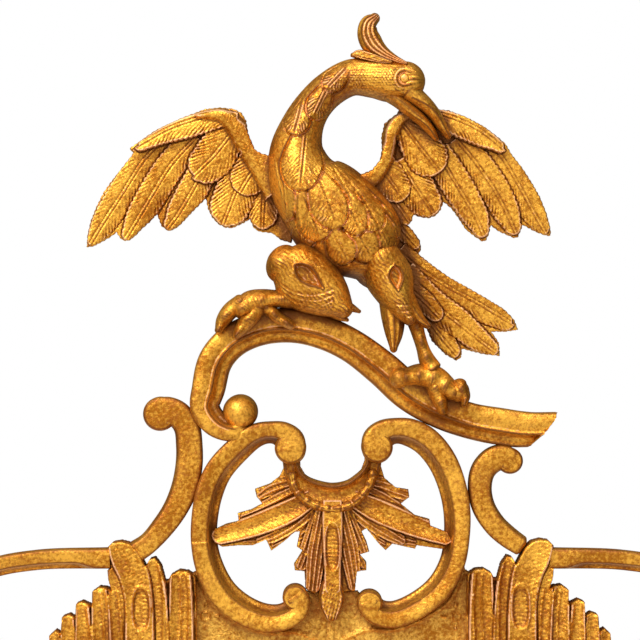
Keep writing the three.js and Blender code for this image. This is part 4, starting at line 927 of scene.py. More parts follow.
@dataclass(frozen=True)
class Vane:
    """One feather or petal of a relief, laid over what is under it.

    Formula: a point's run and across are measured at the nearest place of the middle line. Inside its width
    the level is base + rise * run / length + web(run, across, half), joined to what is beneath over the outer
    half millimetre; just outside, a cut deepens the edge. Past the end the width closes as an ellipse, and
    notches make both edges ragged.
    """

    rows: Rows
    base: float
    rise: float = 0.0
    web: Detail = Barbs()
    blunt: float = 1.0
    edge: float = 0.8
    cut: float = 0.55
    notch: float = 0.0

    def over(self, level: Array, x: Array, z: Array) -> Array:
        """Lays the vane on a relief; its rows are x, y and half width to the left and right of the way."""
        rows = DRAWING.rows([(*row, row[2])[:4] if len(row) == 3 else row for row in self.rows])
        rows[:, 3] *= DRAWING.unit
        path = spline(rows, max(12, int(np.hypot(*np.diff(rows[:, :2], axis=0).T).sum() / 0.6)))
        step = np.hypot(*(path[1, :2] - path[0, :2]))
        room = rows[:, 2:].max() * 2.2 + 2
        low, high = path[:, :2].min(0) - room, path[:, :2].max(0) + room
        close = (x > low[0]) & (x < high[0]) & (z > low[1]) & (z < high[1])
        px, pz = x[close], z[close]
        nearest = np.concatenate(
            [
                ((ax[:, None] - path[None, :, 0]) ** 2 + (az[:, None] - path[None, :, 1]) ** 2).argmin(1)
                for ax, az in zip(np.array_split(px, 8), np.array_split(pz, 8))
            ]
        )
        way = np.gradient(path[:, :2], axis=0)
        way /= np.linalg.norm(way, axis=1, keepdims=True)
        dx, dz = px - path[nearest, 0], pz - path[nearest, 1]
        along = dx * way[nearest, 0] + dz * way[nearest, 1]
        across = way[nearest, 0] * dz - way[nearest, 1] * dx
        run, length = nearest * step + along, (len(path) - 1) * step
        half = np.where(across > 0, path[nearest, 2], path[nearest, 3])
        half = half * (1 + self.notch * (np.abs(np.sin(np.pi * run / 3.6)) - 0.6))
        past = np.clip(run - length, 0, None) / (self.blunt * half)
        gap = np.where(past < 1, half * np.sqrt(np.clip(1 - past**2, 0, 1)) - np.abs(across), -9.0)
        gap = np.where(run < 0, run, gap)
        under = level[close]
        plate = self.base + self.rise * run / length + self.web(run, across, half, px, pz)
        joined = under + (plate - under) * ramp(gap, 0, self.edge)
        dug = under - self.cut * np.exp(-((np.minimum(gap, 0) / 0.5) ** 2)) * ramp(run, 1, 7)
        out = level.copy()
        out[close] = np.where(gap > 0, joined, dug)
        return out


def plain(run: Array, across: Array, half: Array, x: Array, z: Array) -> Array:
    """No carving."""
    return np.zeros(np.shape(x))


def on_board(level: float, carving: Detail) -> Callable[[Array, Array], Array]:
    """A board's height: a level with a carving on it."""

    def height(x: Array, z: Array) -> Array:
        """The height at each point."""
        none = np.zeros(np.shape(x))
        return level + carving(none, none, none, x, z)

    return height


def layered(level: float, vanes: Sequence[Vane], extra: Detail = plain) -> Callable[[Array, Array], Array]:
    """A board's height: vanes laid one over another on a level ground, and a carving over all."""

    def height(x: Array, z: Array) -> Array:
        """The height at each point."""
        out = np.full(np.shape(x), level)
        for vane in vanes:
            out = vane.over(out, x, z)
        none = np.zeros(np.shape(x))
        return out + extra(none, none, none, x, z)

    return height


# ----------------------------------------------------------------------------------------------------------
# Finishes
# ----------------------------------------------------------------------------------------------------------

Colour = tuple


class Nodes:
    """A short hand for laying out a node tree."""

    def __init__(self, tree: bpy.types.NodeTree) -> None:
        """Takes the tree that the nodes go in."""
        self.tree = tree

    def add(self, kind: str, settings: Optional[dict] = None, **inputs: object) -> bpy.types.Node:
        """Adds a node.

        Args:
            kind: the node's type.
            settings: its properties by name.
            inputs: values or sockets for its inputs, named with _ for a space; in0, in1 go by number.

        Returns:
            The node.
        """
        node = self.tree.nodes.new(kind)
        for key, value in (settings or {}).items():
            setattr(node, key, value)
        for key, value in inputs.items():
            number = key[2:]
            socket = node.inputs[int(number)] if key.startswith("in") and number.isdigit() else None
            socket = socket or node.inputs[key.replace("_", " ")]
            if isinstance(value, bpy.types.NodeSocket):
                self.tree.links.new(value, socket)
            else:
                socket.default_value = value
        return node

    def math(self, kind: str, a: object, b: object = 0.0, clamp: bool = False) -> bpy.types.NodeSocket:
        """One sum on two values."""
        return self.add("ShaderNodeMath", {"operation": kind, "use_clamp": clamp}, in0=a, in1=b).outputs[0]

    def band(self, value: object, low: float, high: float) -> bpy.types.NodeSocket:
        """A smooth step of a value from low to high."""
        kind = {"interpolation_type": "SMOOTHSTEP"}
        return self.add("ShaderNodeMapRange", kind, Value=value, From_Min=low, From_Max=high).outputs[0]

    def mix(self, share: object, a: object, b: object, blend: str = "MIX") -> bpy.types.NodeSocket:
        """Two colours mixed."""
        kind = {"data_type": "RGBA", "blend_type": blend}
        return self.add("ShaderNodeMix", kind, in0=share, in6=a, in7=b).outputs[2]

    def noise(
        self, where: object, scale: float, detail: float = 4.0, rough: float = 0.55, warp: float = 0.0,
    ) -> object:
        """A noise value at a place."""
        node = self.add(
            "ShaderNodeTexNoise", None, Vector=where, Scale=scale, Detail=detail, Roughness=rough,
            Distortion=warp
        )
        return node.outputs[0]


def node_group(name: str, inputs: dict, outputs: dict) -> tuple:
    """An empty shader node group with named sockets.

    Args:
        name: the group's name.
        inputs: socket kinds and standing values by name.
        outputs: socket kinds by name.

    Returns:
        The group, its Nodes, its input node and its output node.
    """
    tree = bpy.data.node_groups.new(name, "ShaderNodeTree")
    for label, (kind, value) in inputs.items():
        socket = tree.interface.new_socket(label, in_out="INPUT", socket_type=kind)
        if value is not None:
            socket.default_value = value
    for label, kind in outputs.items():
        tree.interface.new_socket(label, in_out="OUTPUT", socket_type=kind)
    nodes = Nodes(tree)
    return tree, nodes, nodes.add("NodeGroupInput"), nodes.add("NodeGroupOutput")


NUMBER, TINT, PLACE = "NodeSocketFloat", "NodeSocketColor", "NodeSocketVector"


def leaf_tone_group() -> bpy.types.NodeTree:
    """Gold leaf's tone: light and deep gold in soft patches with finer mottling over them."""
    tree, n, given, result = node_group(
        "leaf_tone",
        {"Vector": (PLACE, None), "Light": (TINT, None), "Deep": (TINT, None), "Patch": (NUMBER, 30.0)},
        {"Color": TINT, "Mottle": NUMBER},
    )
    where = given.outputs["Vector"]
    slow = n.add("ShaderNodeTexNoise", None, Vector=where, Scale=given.outputs["Patch"], Detail=3.0)
    fine = n.noise(where, 420.0, 6.0, 0.68)
    both = n.math("ADD", n.math("MULTIPLY", slow.outputs[0], 0.5), n.math("MULTIPLY", fine, 0.75))
    share = n.band(both, 0.5, 0.74)
    n.tree.links.new(n.mix(share, given.outputs["Deep"], given.outputs["Light"]), result.inputs["Color"])
    n.tree.links.new(fine, result.inputs["Mottle"])
    return tree


def rubbing_group() -> bpy.types.NodeTree:
    """What wear and shade do to leaf: hollows take painted shade and old dark glazing, proud edges rub
    through to pale ground and red clay.
    """
    tree, n, given, result = node_group(
        "rubbing",
        {
            "Vector": (PLACE, None), "Leaf": (TINT, None), "Clay": (TINT, None), "Ground": (TINT, None),
            "Glaze": (TINT, None), "Ridge": (NUMBER, 0.0), "Hollow": (NUMBER, 0.0), "Wear": (NUMBER, 1.0),
            "Age": (NUMBER, 1.0),
        },
        {"Color": TINT, "Metal": NUMBER, "Roughness": NUMBER},
    )
    where, ridge, hollow = given.outputs["Vector"], given.outputs["Ridge"], given.outputs["Hollow"]
    break_up = n.noise(where, 210.0, 6.0, 0.7, 0.4)
    specks = n.noise(where, 560.0, 3.0, 0.65)
    patch = n.noise(where, 70.0, 5.0, 0.62, 0.8)
    # Painted shade: deep places and concave creases mix in a dark brown tint, standing for occlusion in
    # recesses together with old glazing.
    glaze_and_shade = n.math("MULTIPLY", n.band(hollow, 0.04, 0.8), given.outputs["Age"], True)
    clay = n.math("ADD", n.math("MULTIPLY", hollow, 0.3), n.math("MULTIPLY", patch, 0.5))
    clay = n.math("ADD", clay, n.math("MULTIPLY", specks, 0.7))
    clay = n.math("MULTIPLY", n.band(clay, 0.58, 0.8), n.math("MULTIPLY", given.outputs["Wear"], 0.8), True)
    worn = n.math(
        "ADD", n.math("MULTIPLY", ridge, 1.1), n.math("MULTIPLY", n.math("SUBTRACT", break_up, 0.5), 1.6),
    )
    pale = n.math("MULTIPLY", n.band(worn, 0.4, 0.75), given.outputs["Wear"], True)
    colour = n.mix(clay, given.outputs["Leaf"], given.outputs["Clay"])
    colour = n.mix(n.math("MULTIPLY", glaze_and_shade, 0.85), colour, given.outputs["Glaze"])
    colour = n.mix(n.math("MULTIPLY", pale, 0.85), colour, given.outputs["Ground"])
    n.tree.links.new(colour, result.inputs["Color"])
    bare = n.math("ADD", n.math("MULTIPLY", pale, 0.6), n.math("MULTIPLY", clay, 0.3))
    bare = n.math("ADD", bare, n.math("MULTIPLY", glaze_and_shade, 0.3), True)
    n.tree.links.new(n.math("SUBTRACT", 0.8, n.math("MULTIPLY", bare, 0.6)), result.inputs["Metal"])
    rough = n.math("ADD", 0.33, n.math("MULTIPLY", bare, 0.25))
    rough = n.math("ADD", rough, n.math("MULTIPLY", specks, 0.12))
    n.tree.links.new(rough, result.inputs["Roughness"])
    return tree


def tooling_group() -> bpy.types.NodeTree:
    """The ground's fine relief: stippled size, pits and fine cracks."""
    tree, n, given, result = node_group(
        "tooling",
        {"Vector": (PLACE, None), "Pits": (NUMBER, 1.0), "Cracks": (NUMBER, 0.3)},
        {"Height": NUMBER},
    )
    where = given.outputs["Vector"]
    stipple = n.noise(where, 620.0, 4.0, 0.6)
    blobs = n.noise(where, 260.0, 4.0, 0.6, 0.2)
    swell = n.noise(where, 80.0, 3.0, 0.5)
    pits = n.math("ADD", n.math("MULTIPLY", stipple, 0.6), n.math("MULTIPLY", blobs, 0.5))
    pits = n.math("ADD", n.math("MULTIPLY", pits, given.outputs["Pits"]), n.math("MULTIPLY", swell, 0.9))
    grain = n.add(
        "ShaderNodeTexVoronoi", {"feature": "DISTANCE_TO_EDGE"}, Vector=where, Scale=95.0, Randomness=1.0,
    )
    crack = n.math("SUBTRACT", 1.0, n.band(grain.outputs[0], 0.0, 0.05))
    crack = n.math("MULTIPLY", n.math("MULTIPLY", crack, given.outputs["Cracks"]), n.noise(where, 40.0, 3.0))
    n.tree.links.new(n.math("SUBTRACT", pits, crack), result.inputs["Height"])
    return tree


def grain_group() -> bpy.types.NodeTree:
    """Long wood grain along X or Z: stretched noise in bands, for boards at the back."""
    tree, n, given, result = node_group(
        "grain",
        {"Vector": (PLACE, None), "Light": (TINT, None), "Dark": (TINT, None)},
        {"Color": TINT, "Figure": NUMBER},
    )
    rings = n.noise(given.outputs["Vector"], 60.0, 5.0, 0.6, 1.2)
    fibre = n.noise(given.outputs["Vector"], 420.0, 4.0, 0.6)
    figure = n.math("ADD", n.math("MULTIPLY", rings, 0.7), n.math("MULTIPLY", fibre, 0.3))
    n.tree.links.new(
        n.mix(n.band(figure, 0.36, 0.66), given.outputs["Dark"], given.outputs["Light"]),
        result.inputs["Color"],
    )
    n.tree.links.new(figure, result.inputs["Figure"])
    return tree


class Effect(Enum):
    """The node groups that materials share."""

    LEAF_TONE = "leaf_tone"
    RUBBING = "rubbing"
    TOOLING = "tooling"
    GRAIN = "grain"

    def tree(self) -> bpy.types.NodeTree:
        """The effect's group, built once."""
        makers = {
            "leaf_tone": leaf_tone_group, "rubbing": rubbing_group, "tooling": tooling_group,
            "grain": grain_group,
        }
        return bpy.data.node_groups.get(self.value) or makers[self.value]()


def blank(name: str) -> tuple:
    """A new material, its Nodes, its Principled shader and the object's own coordinates."""
    material = bpy.data.materials.new(name)
    material.use_nodes = True
    nodes = Nodes(material.node_tree)
    shader = next(x for x in material.node_tree.nodes if x.type == "BSDF_PRINCIPLED")
    where = nodes.add("ShaderNodeTexCoord").outputs["Object"]
    return material, nodes, shader, where


def use(nodes: Nodes, effect: Effect, **inputs: object) -> bpy.types.Node:
    """Places a shared effect in a material."""
    node = nodes.tree.nodes.new("ShaderNodeGroup")
    node.node_tree = effect.tree()
    for key, value in inputs.items():
        socket = node.inputs[key]
        if isinstance(value, bpy.types.NodeSocket):
            nodes.tree.links.new(value, socket)
        else:
            socket.default_value = value
    return node


@dataclass(frozen=True)
class Gilding:
    """Water gilding over clay and gesso, at one state of wear, with painted shade in its hollows."""

    name: str
    light: Colour = (0.98, 0.5, 0.06, 1)
    deep: Colour = (0.44, 0.145, 0.005, 1)
    clay: Colour = (0.34, 0.09, 0.008, 1)
    ground: Colour = (0.92, 0.52, 0.28, 1)
    # Dark brown painted into hollows: painted shade, together with old glazing.
    glaze_and_shade: Colour = (0.17, 0.05, 0.004, 1)
    patch: float = 28.0
    wear: float = 0.8
    # How much of that painted shade and glazing the hollows take.
    age: float = 0.9
    pits: float = 1.0
    cracks: float = 0.12
    relief: float = 0.0007

    def dress(self) -> bpy.types.Material:
        """Builds the material."""
        material, n, shader, where = blank(self.name)
        leaf = use(n, Effect.LEAF_TONE, Vector=where, Light=self.light, Deep=self.deep, Patch=self.patch)
        ridge = n.add("ShaderNodeAttribute", {"attribute_name": "ridge"}).outputs["Fac"]
        hollow = n.add("ShaderNodeAttribute", {"attribute_name": "hollow"}).outputs["Fac"]
        rub = use(
            n, Effect.RUBBING, Vector=where, Leaf=leaf.outputs["Color"], Clay=self.clay, Ground=self.ground,
            Glaze=self.glaze_and_shade, Ridge=ridge, Hollow=hollow, Wear=self.wear, Age=self.age,
        )
        tool = use(n, Effect.TOOLING, Vector=where, Pits=self.pits, Cracks=self.cracks)
        bump = n.add(
            "ShaderNodeBump", None, Strength=1.0, Distance=self.relief, Height=tool.outputs["Height"],
        )
        n.tree.links.new(rub.outputs["Color"], shader.inputs["Base Color"])
        n.tree.links.new(rub.outputs["Metal"], shader.inputs["Metallic"])
        n.tree.links.new(rub.outputs["Roughness"], shader.inputs["Roughness"])
        n.tree.links.new(bump.outputs[0], shader.inputs["Normal"])
        return material


@dataclass(frozen=True)
class OldGlass:
    """Silvered plate, clear in the middle and foxed towards its edges."""

    name: str
    silver: Colour = (0.86, 0.88, 0.87, 1)
    fox: Colour = (0.2, 0.16, 0.11, 1)
    half_width: float = 0.2
    middle: float = -0.335
    half_height: float = 0.31

    def dress(self) -> bpy.types.Material:
        """Builds the material. Foxing is noise that gains on the silver as the nearest edge comes closer."""
        material, n, shader, where = blank(self.name)
        axes = n.add("ShaderNodeSeparateXYZ", None, Vector=where).outputs
        side = n.math("DIVIDE", n.math("ABSOLUTE", axes[0]), self.half_width)
        up = n.math("DIVIDE", n.math("ABSOLUTE", n.math("SUBTRACT", axes[2], self.middle)), self.half_height)
        edge = n.math("POWER", n.math("MAXIMUM", side, up), 9.0)
        spots = n.math("ADD", n.noise(where, 70.0, 7.0, 0.75, 0.6), n.math("MULTIPLY", edge, 0.28))
        fox = n.band(spots, 0.68, 0.86)
        n.tree.links.new(n.mix(fox, self.silver, self.fox), shader.inputs["Base Color"])
        n.tree.links.new(n.math("ADD", 0.03, n.math("MULTIPLY", fox, 0.45)), shader.inputs["Roughness"])
        shader.inputs["Metallic"].default_value = 1.0
        return material


@dataclass(frozen=True)
class Wood:
    """Old softwood, brown with smoke and handling, its grain along one axis."""

    name: str
    light: Colour = (0.36, 0.19, 0.085, 1)
    dark: Colour = (0.13, 0.058, 0.024, 1)
    along: tuple = (1.0, 1.0, 0.06)

    def dress(self) -> bpy.types.Material:
        """Builds the material."""
        material, n, shader, where = blank(self.name)
        laid = n.add("ShaderNodeMapping", None, Vector=where, Scale=self.along).outputs[0]
        grain = use(n, Effect.GRAIN, Vector=laid, Light=self.light, Dark=self.dark)
        dirt = n.band(n.noise(where, 14.0, 5.0, 0.6), 0.4, 0.75)
        colour = n.mix(n.math("MULTIPLY", dirt, 0.5), grain.outputs["Color"], self.dark)
        bump = n.add("ShaderNodeBump", None, Strength=0.6, Distance=0.0004, Height=grain.outputs["Figure"])
        n.tree.links.new(colour, shader.inputs["Base Color"])
        n.tree.links.new(bump.outputs[0], shader.inputs["Normal"])
        n.tree.links.new(n.math("ADD", 0.62, n.math("MULTIPLY", dirt, 0.25)), shader.inputs["Roughness"])
        return material


@dataclass(frozen=True)
class Metal:
    """A small fitting's metal with tarnish in its hollows and patches."""

    name: str
    bright: Colour
    dull: Colour
    metallic: float = 1.0
    rough: float = 0.32
    tarnish: float = 0.6

    def dress(self) -> bpy.types.Material:
        """Builds the material."""
        material, n, shader, where = blank(self.name)
        hollow = n.add("ShaderNodeAttribute", {"attribute_name": "hollow"}).outputs["Fac"]
        patch = n.math("ADD", n.noise(where, 120.0, 6.0, 0.65, 0.5), n.math("MULTIPLY", hollow, 0.3))
        dull = n.math("MULTIPLY", n.band(patch, 0.42, 0.78), self.tarnish, True)
        n.tree.links.new(n.mix(dull, self.bright, self.dull), shader.inputs["Base Color"])
        n.tree.links.new(n.math("ADD", self.rough, n.math("MULTIPLY", dull, 0.4)), shader.inputs["Roughness"])
        bump = n.add(
            "ShaderNodeBump", None, Strength=0.35, Distance=0.0003, Height=n.noise(where, 500.0, 4.0),
        )
        n.tree.links.new(bump.outputs[0], shader.inputs["Normal"])
        shader.inputs["Metallic"].default_value = self.metallic
        return material


class Finish(Enum):
    """The finishes of this mirror."""

    SCROLL = Gilding("gilt_on_scrolls", wear=0.8, pits=0.8)
    SHELL = Gilding("gilt_on_shells", wear=0.95, age=1.0, pits=1.2)
    # Its ground lies low among the carving, so it takes less painted shade in its hollows.
    GROUND = Gilding("gilt_on_the_ground", light=(1.0, 0.58, 0.1, 1), wear=0.7, age=0.3, pits=1.6, patch=40.0)
    BIRD = Gilding("gilt_on_the_bird", wear=0.8, age=1.0)
    FRAME = Gilding("gilt_on_the_frame", wear=0.55, pits=0.7, patch=18.0)
    SLIP = Gilding("gilt_on_the_slip", wear=0.8, age=1.0, pits=0.8)
    ARMS = Metal("gilt_metal", (0.86, 0.53, 0.16, 1), (0.3, 0.16, 0.05, 1), rough=0.24, tarnish=0.7)
    GLASS = OldGlass("silvered_plate")
    BACK = Wood("smoked_pine")
    BATTEN = Wood("smoked_pine_of_the_battens", light=(0.3, 0.155, 0.07, 1))
    IRON = Metal(
        "old_iron", (0.27, 0.25, 0.23, 1), (0.16, 0.07, 0.035, 1), metallic=0.85, rough=0.45, tarnish=0.9,
    )
    BRASS = Metal("old_brass", (0.7, 0.5, 0.22, 1), (0.26, 0.17, 0.07, 1), rough=0.3, tarnish=0.8)

    def material(self) -> bpy.types.Material:
        """The finish's material, built once."""
        return bpy.data.materials.get(self.value.name) or self.value.dress()


# ----------------------------------------------------------------------------------------------------------
# The workshop: it gathers the pieces, finds their hollows and makes the objects
# ----------------------------------------------------------------------------------------------------------


@dataclass
class Piece:
    """One finished piece: its skin, the CAD nodes it stands for, its body, slot and finish."""

    name: str
    skin: Skin
    nodes: tuple
    slot: str
    finish: Finish
    body: str = "frame"
    sharp: float = 50.0


@dataclass
class Relief:
    """How far out the carving stands all over the mirror, on a square grid seen from the front; what lies
    below it is given painted shade.
    """

    cell: float = 1.5
    low: tuple = (-345.0, -830.0)
    high: tuple = (345.0, 480.0)
    soft: float = 5.0
    rise: Optional[Array] = None

    def place(self, points: Array) -> tuple:
        """The grid cell of each point."""
        i = np.clip(((points[:, 0] - self.low[0]) / self.cell).astype(int), 0, self.shape()[0] - 1)
        j = np.clip(((points[:, 2] - self.low[1]) / self.cell).astype(int), 0, self.shape()[1] - 1)
        return i, j

    def shape(self) -> tuple:
        """The grid's size."""
        return tuple(int((b - a) / self.cell) for a, b in zip(self.low, self.high))

    def lay(self, pieces: Sequence[Piece]) -> None:
        """Lays all pieces on the grid and softens it: the highest point in each cell, blurred by a
        Gaussian."""
        top = np.zeros(self.shape())
        for piece in pieces:
            points = piece.skin.all_points()
            i, j = self.place(points)
            np.maximum.at(top, (i, j), -points[:, 1])
        around = [np.roll(top, step, axis) for axis in (0, 1) for step in (-1, 1)]
        top = np.where(top > 0, top, np.maximum.reduce(around))
        fx, fz = np.fft.fftfreq(top.shape[0]), np.fft.rfftfreq(top.shape[1])
        sigma = self.soft / self.cell
        bell = np.exp(-2 * (np.pi * sigma) ** 2 * (fx[:, None] ** 2 + fz[None, :] ** 2))
        self.rise = np.fft.irfft2(np.fft.rfft2(top) * bell, top.shape)

    def depth(self, points: Array, reach: float = 9.0) -> Array:
        """How far points lie under their surroundings, as a share of a reach: the strength of painted shade
        there.
        """
        i, j = self.place(points)
        return np.clip((self.rise[i, j] + points[:, 1] - 0.5) / reach, 0, 1)


@dataclass
class Workshop:
    """Takes in pieces, and sets them all up at the end."""

    pieces: list = field(default_factory=list)

    def take(self, piece: Piece) -> None:
        """Takes in one piece."""
        self.pieces.append(piece)

    def set_up(self) -> None:
        """Makes the objects, with their hollows, which take painted shade, found among all the others."""
        relief = Relief()
        relief.lay(self.pieces)
        for piece in self.pieces:
            mesh = piece.skin.mesh(piece.name, relief.depth(piece.skin.all_points()), piece.sharp)
            mesh.materials.append(piece.finish.material())
            thing = bpy.data.objects.new(piece.name, mesh)
            bpy.context.scene.collection.objects.link(thing)
            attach(thing, piece.body)
            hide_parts(*piece.nodes)
            LOG.info("%s: %d faces on %s", piece.name, len(mesh.polygons), piece.body)


def redress(names: Sequence[str], finish: Finish) -> None:
    """Gives CAD nodes that stay in sight their finish."""
    for name in names:
        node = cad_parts[name]
        node.data.materials.clear()
        node.data.materials.append(finish.material())
        LOG.info("%s: kept, in %s", name, finish.value.name)


# ----------------------------------------------------------------------------------------------------------
# The crest's bars
# ----------------------------------------------------------------------------------------------------------


@dataclass(frozen=True)
class Boss:
    """A drawn volute: x, y and radius, how domed it is, and its crease."""

    x: float
    y: float
    radius: float
    dome: float = 0.05
    crease: float = 0.0

    def grid(self, back: float, front: float) -> Array:
        """Its surface."""
        ((x, z, radius),) = DRAWING.rows([(self.x, self.y, self.radius)])
        return volute((x, z, radius, back, front), self.dome, self.crease)


@dataclass(frozen=True)
class Bar:
    """One bar of a scroll: its drawn line from volute to volute, its section and the side of its cove."""

    name: str
    rows: Rows
    bosses: tuple
    flip: int
    front: float
    section: Section = FACE_AND_COVE
    ends: tuple = (1.0, 1.0)
    melt: tuple = (26.0, 22.0)
    detail: Detail = plain

    def skin(self, back: float) -> Skin:
        """The bar with its bosses."""
        rows = DRAWING.bar(self.rows, back, self.front)
        skin = Skin().tube(loft(rows, self.section, 0.75, self.ends, self.flip, self.detail, None, self.melt))
        for boss in self.bosses:
            skin.tube(boss.grid(back, self.front - 0.3))
        return skin


@dataclass(frozen=True)
class ScrollWork:
    """The S-shaped rail, the two C-scrolls of the ring and one C-scroll at each flank."""

    back: float = 6.0
    rail: Rows = (
        (249, 426, 5), (243, 429.5, 8.5), (232, 430.5, 11), (216, 424, 13), (205, 408, 14.5),
        (208.5, 388, 16.5), (214, 364, 17), (222, 351, 17), (234, 340, 17), (251, 331.5, 17),
        (272, 326, 17.5), (298.5, 326.5, 17), (326, 333.5, 17), (352.5, 346.5, 17), (382.5, 369, 18),
        (409, 392.5, 18.5), (437.5, 409, 18.5), (470, 421, 18), (501.5, 427, 18.5), (530, 430, 17.5),
        (556, 430, 17.5),
    )
    rail_front: float = 30.0
    rail_eye: Boss = Boss(240.2, 412.2, 17.6, 0.5, 0.0)
    broken: Rows = ((557, 405), (556.2, 414), (553, 421), (546, 430), (541.5, 435), (533, 441), (527, 449))
    broken_from: float = 500.0
    bars: tuple = (
        Bar(
            "ring_scroll_left",
            (
                (290.5, 449.5, 15.5), (289, 442, 15.7), (282, 435.5, 13.5), (271, 433, 11.2), (256, 436, 12),
                (236.5, 451, 13.2), (218.5, 471.5, 13.7), (209, 494, 13.5), (204.5, 518.5, 13),
                (204, 543, 12.8), (209.5, 568, 13.5), (223.5, 594, 14), (245, 611.5, 14), (267, 619, 13.5),
                (284, 617, 12.5), (296, 609, 12.5), (297.5, 601, 12.5), (295.5, 597.5, 12.3),
            ),
            (Boss(290.5, 448, 15.8), Boss(295, 597, 12.5)),
            1,
            28.0,
            melt=(24.0, 20.0),
            detail=Cut(((188, 541), (198, 541.8), (207, 540.6), (219, 543)), -0.8, 0.4),
        ),
        Bar(
            "ring_scroll_right",
            (
                (377, 449, 15.2), (378, 441, 15.7), (385, 434.5, 14.5), (396, 431.5, 13), (411, 433.5, 14.2),
                (427, 442.5, 14.7), (442, 461, 14.5), (452, 485, 13.8), (457, 510, 13.2), (457, 537, 12.5),
                (452.5, 563, 12.2), (439, 588, 12.5), (416.5, 606, 12.5), (394, 615, 12.5), (379, 613, 12.3),
                (371, 606.5, 12.8), (369.5, 603, 12.8),
            ),
            (Boss(377, 447, 15.8), Boss(369.5, 603, 13)),
            -1,
            28.0,
            melt=(24.0, 20.0),
        ),
        Bar(
            "flank_scroll_left",
            (
                (160.5, 414, 16.6), (168, 412.5, 15.2), (177.5, 415.5, 13.6), (186, 427, 13.2),
                (188.7, 447, 13.3), (188.3, 467, 13.6), (183.8, 489, 13.5), (174.5, 510, 12.5),
                (162, 528, 11.6), (147.5, 544, 10.6), (136, 552, 11),
            ),
            (Boss(160, 414, 17),),
            -1,
            24.0,
            FLAT_FACE,
            (1.0, 0.4), (14.0, 0.0),
        ),
        Bar(
            "flank_scroll_right",
            (
                (509.5, 461, 12.8), (503.5, 458, 13), (494, 460.5, 13), (484, 471, 12.5), (480.5, 488, 12),
                (484, 507, 11.8), (495, 525, 11.5), (508, 537, 11), (521, 546, 10),
            ),
            (Boss(510, 461, 13),),
            1,
            24.0,
            FLAT_FACE,
            (1.0, 0.4), (14.0, 0.0),
        ),
    )

    def break_off(self, grid: Array) -> Array:
        """Breaks the rail's end off at a slant.

        Formula: right of a limit, x moves to limit + (x - limit) * (edge(z) - limit) / (end - limit), where
        edge(z) is the broken line with splinters on it.

        Args:
            grid: the rail, as rings of points.

        Returns:
            The rail with its end broken.
        """
        edge = DRAWING.rows(self.broken)
        limit = (self.broken_from - DRAWING.axis) * DRAWING.unit
        end = grid[..., 0].max()
        at = np.interp(grid[..., 2], edge[::-1, 1], edge[::-1, 0])
        splinter = 0.5 * np.sin(2.3 * grid[..., 2]) + 0.35 * np.sin(4.1 * grid[..., 2] - 0.8 * grid[..., 1])
        share = (at + splinter - limit) / (end - limit)
        out = grid.copy()
        out[..., 0] = np.where(grid[..., 0] > limit, limit + (grid[..., 0] - limit) * share, grid[..., 0])
        return out

    def build(self, shop: Workshop) -> None:
        """Hands over five scrolls."""
        rows = DRAWING.bar(self.rail, self.back, self.rail_front)
        rows[:3, 4] -= (7, 3, 1)
        skin = Skin().tube(
            self.break_off(loft(rows, FACE_AND_FILLET, 0.75, (0.5, 0), -1, None, None, (20.0, 0))),
        )
        skin.tube(self.rail_eye.grid(self.back, self.rail_front + 2.5))
        shop.take(Piece("swan_neck_rail", skin, ("swan_neck_scroll",), "gilt_scroll", Finish.SCROLL))
        for bar in self.bars:
            shop.take(
                Piece(f"{bar.name}_carved", bar.skin(self.back), (bar.name,), "gilt_scroll", Finish.SCROLL),
            )


# ----------------------------------------------------------------------------------------------------------
# The shell spray in the ring, the panel and the shoulders
# ----------------------------------------------------------------------------------------------------------

def mirrored(vane: Vane, axis: float) -> Vane:
    """The same vane on the other side of an upright line of the drawing."""
    rows = tuple((2 * axis - row[0], row[1], *reversed(row[2:])) for row in vane.rows)
    return replace(vane, rows=rows)


LOBE = Together((Scoop(2.6, 0.8), Ripples(3.4, 0.06, 0.3, 1.5)))


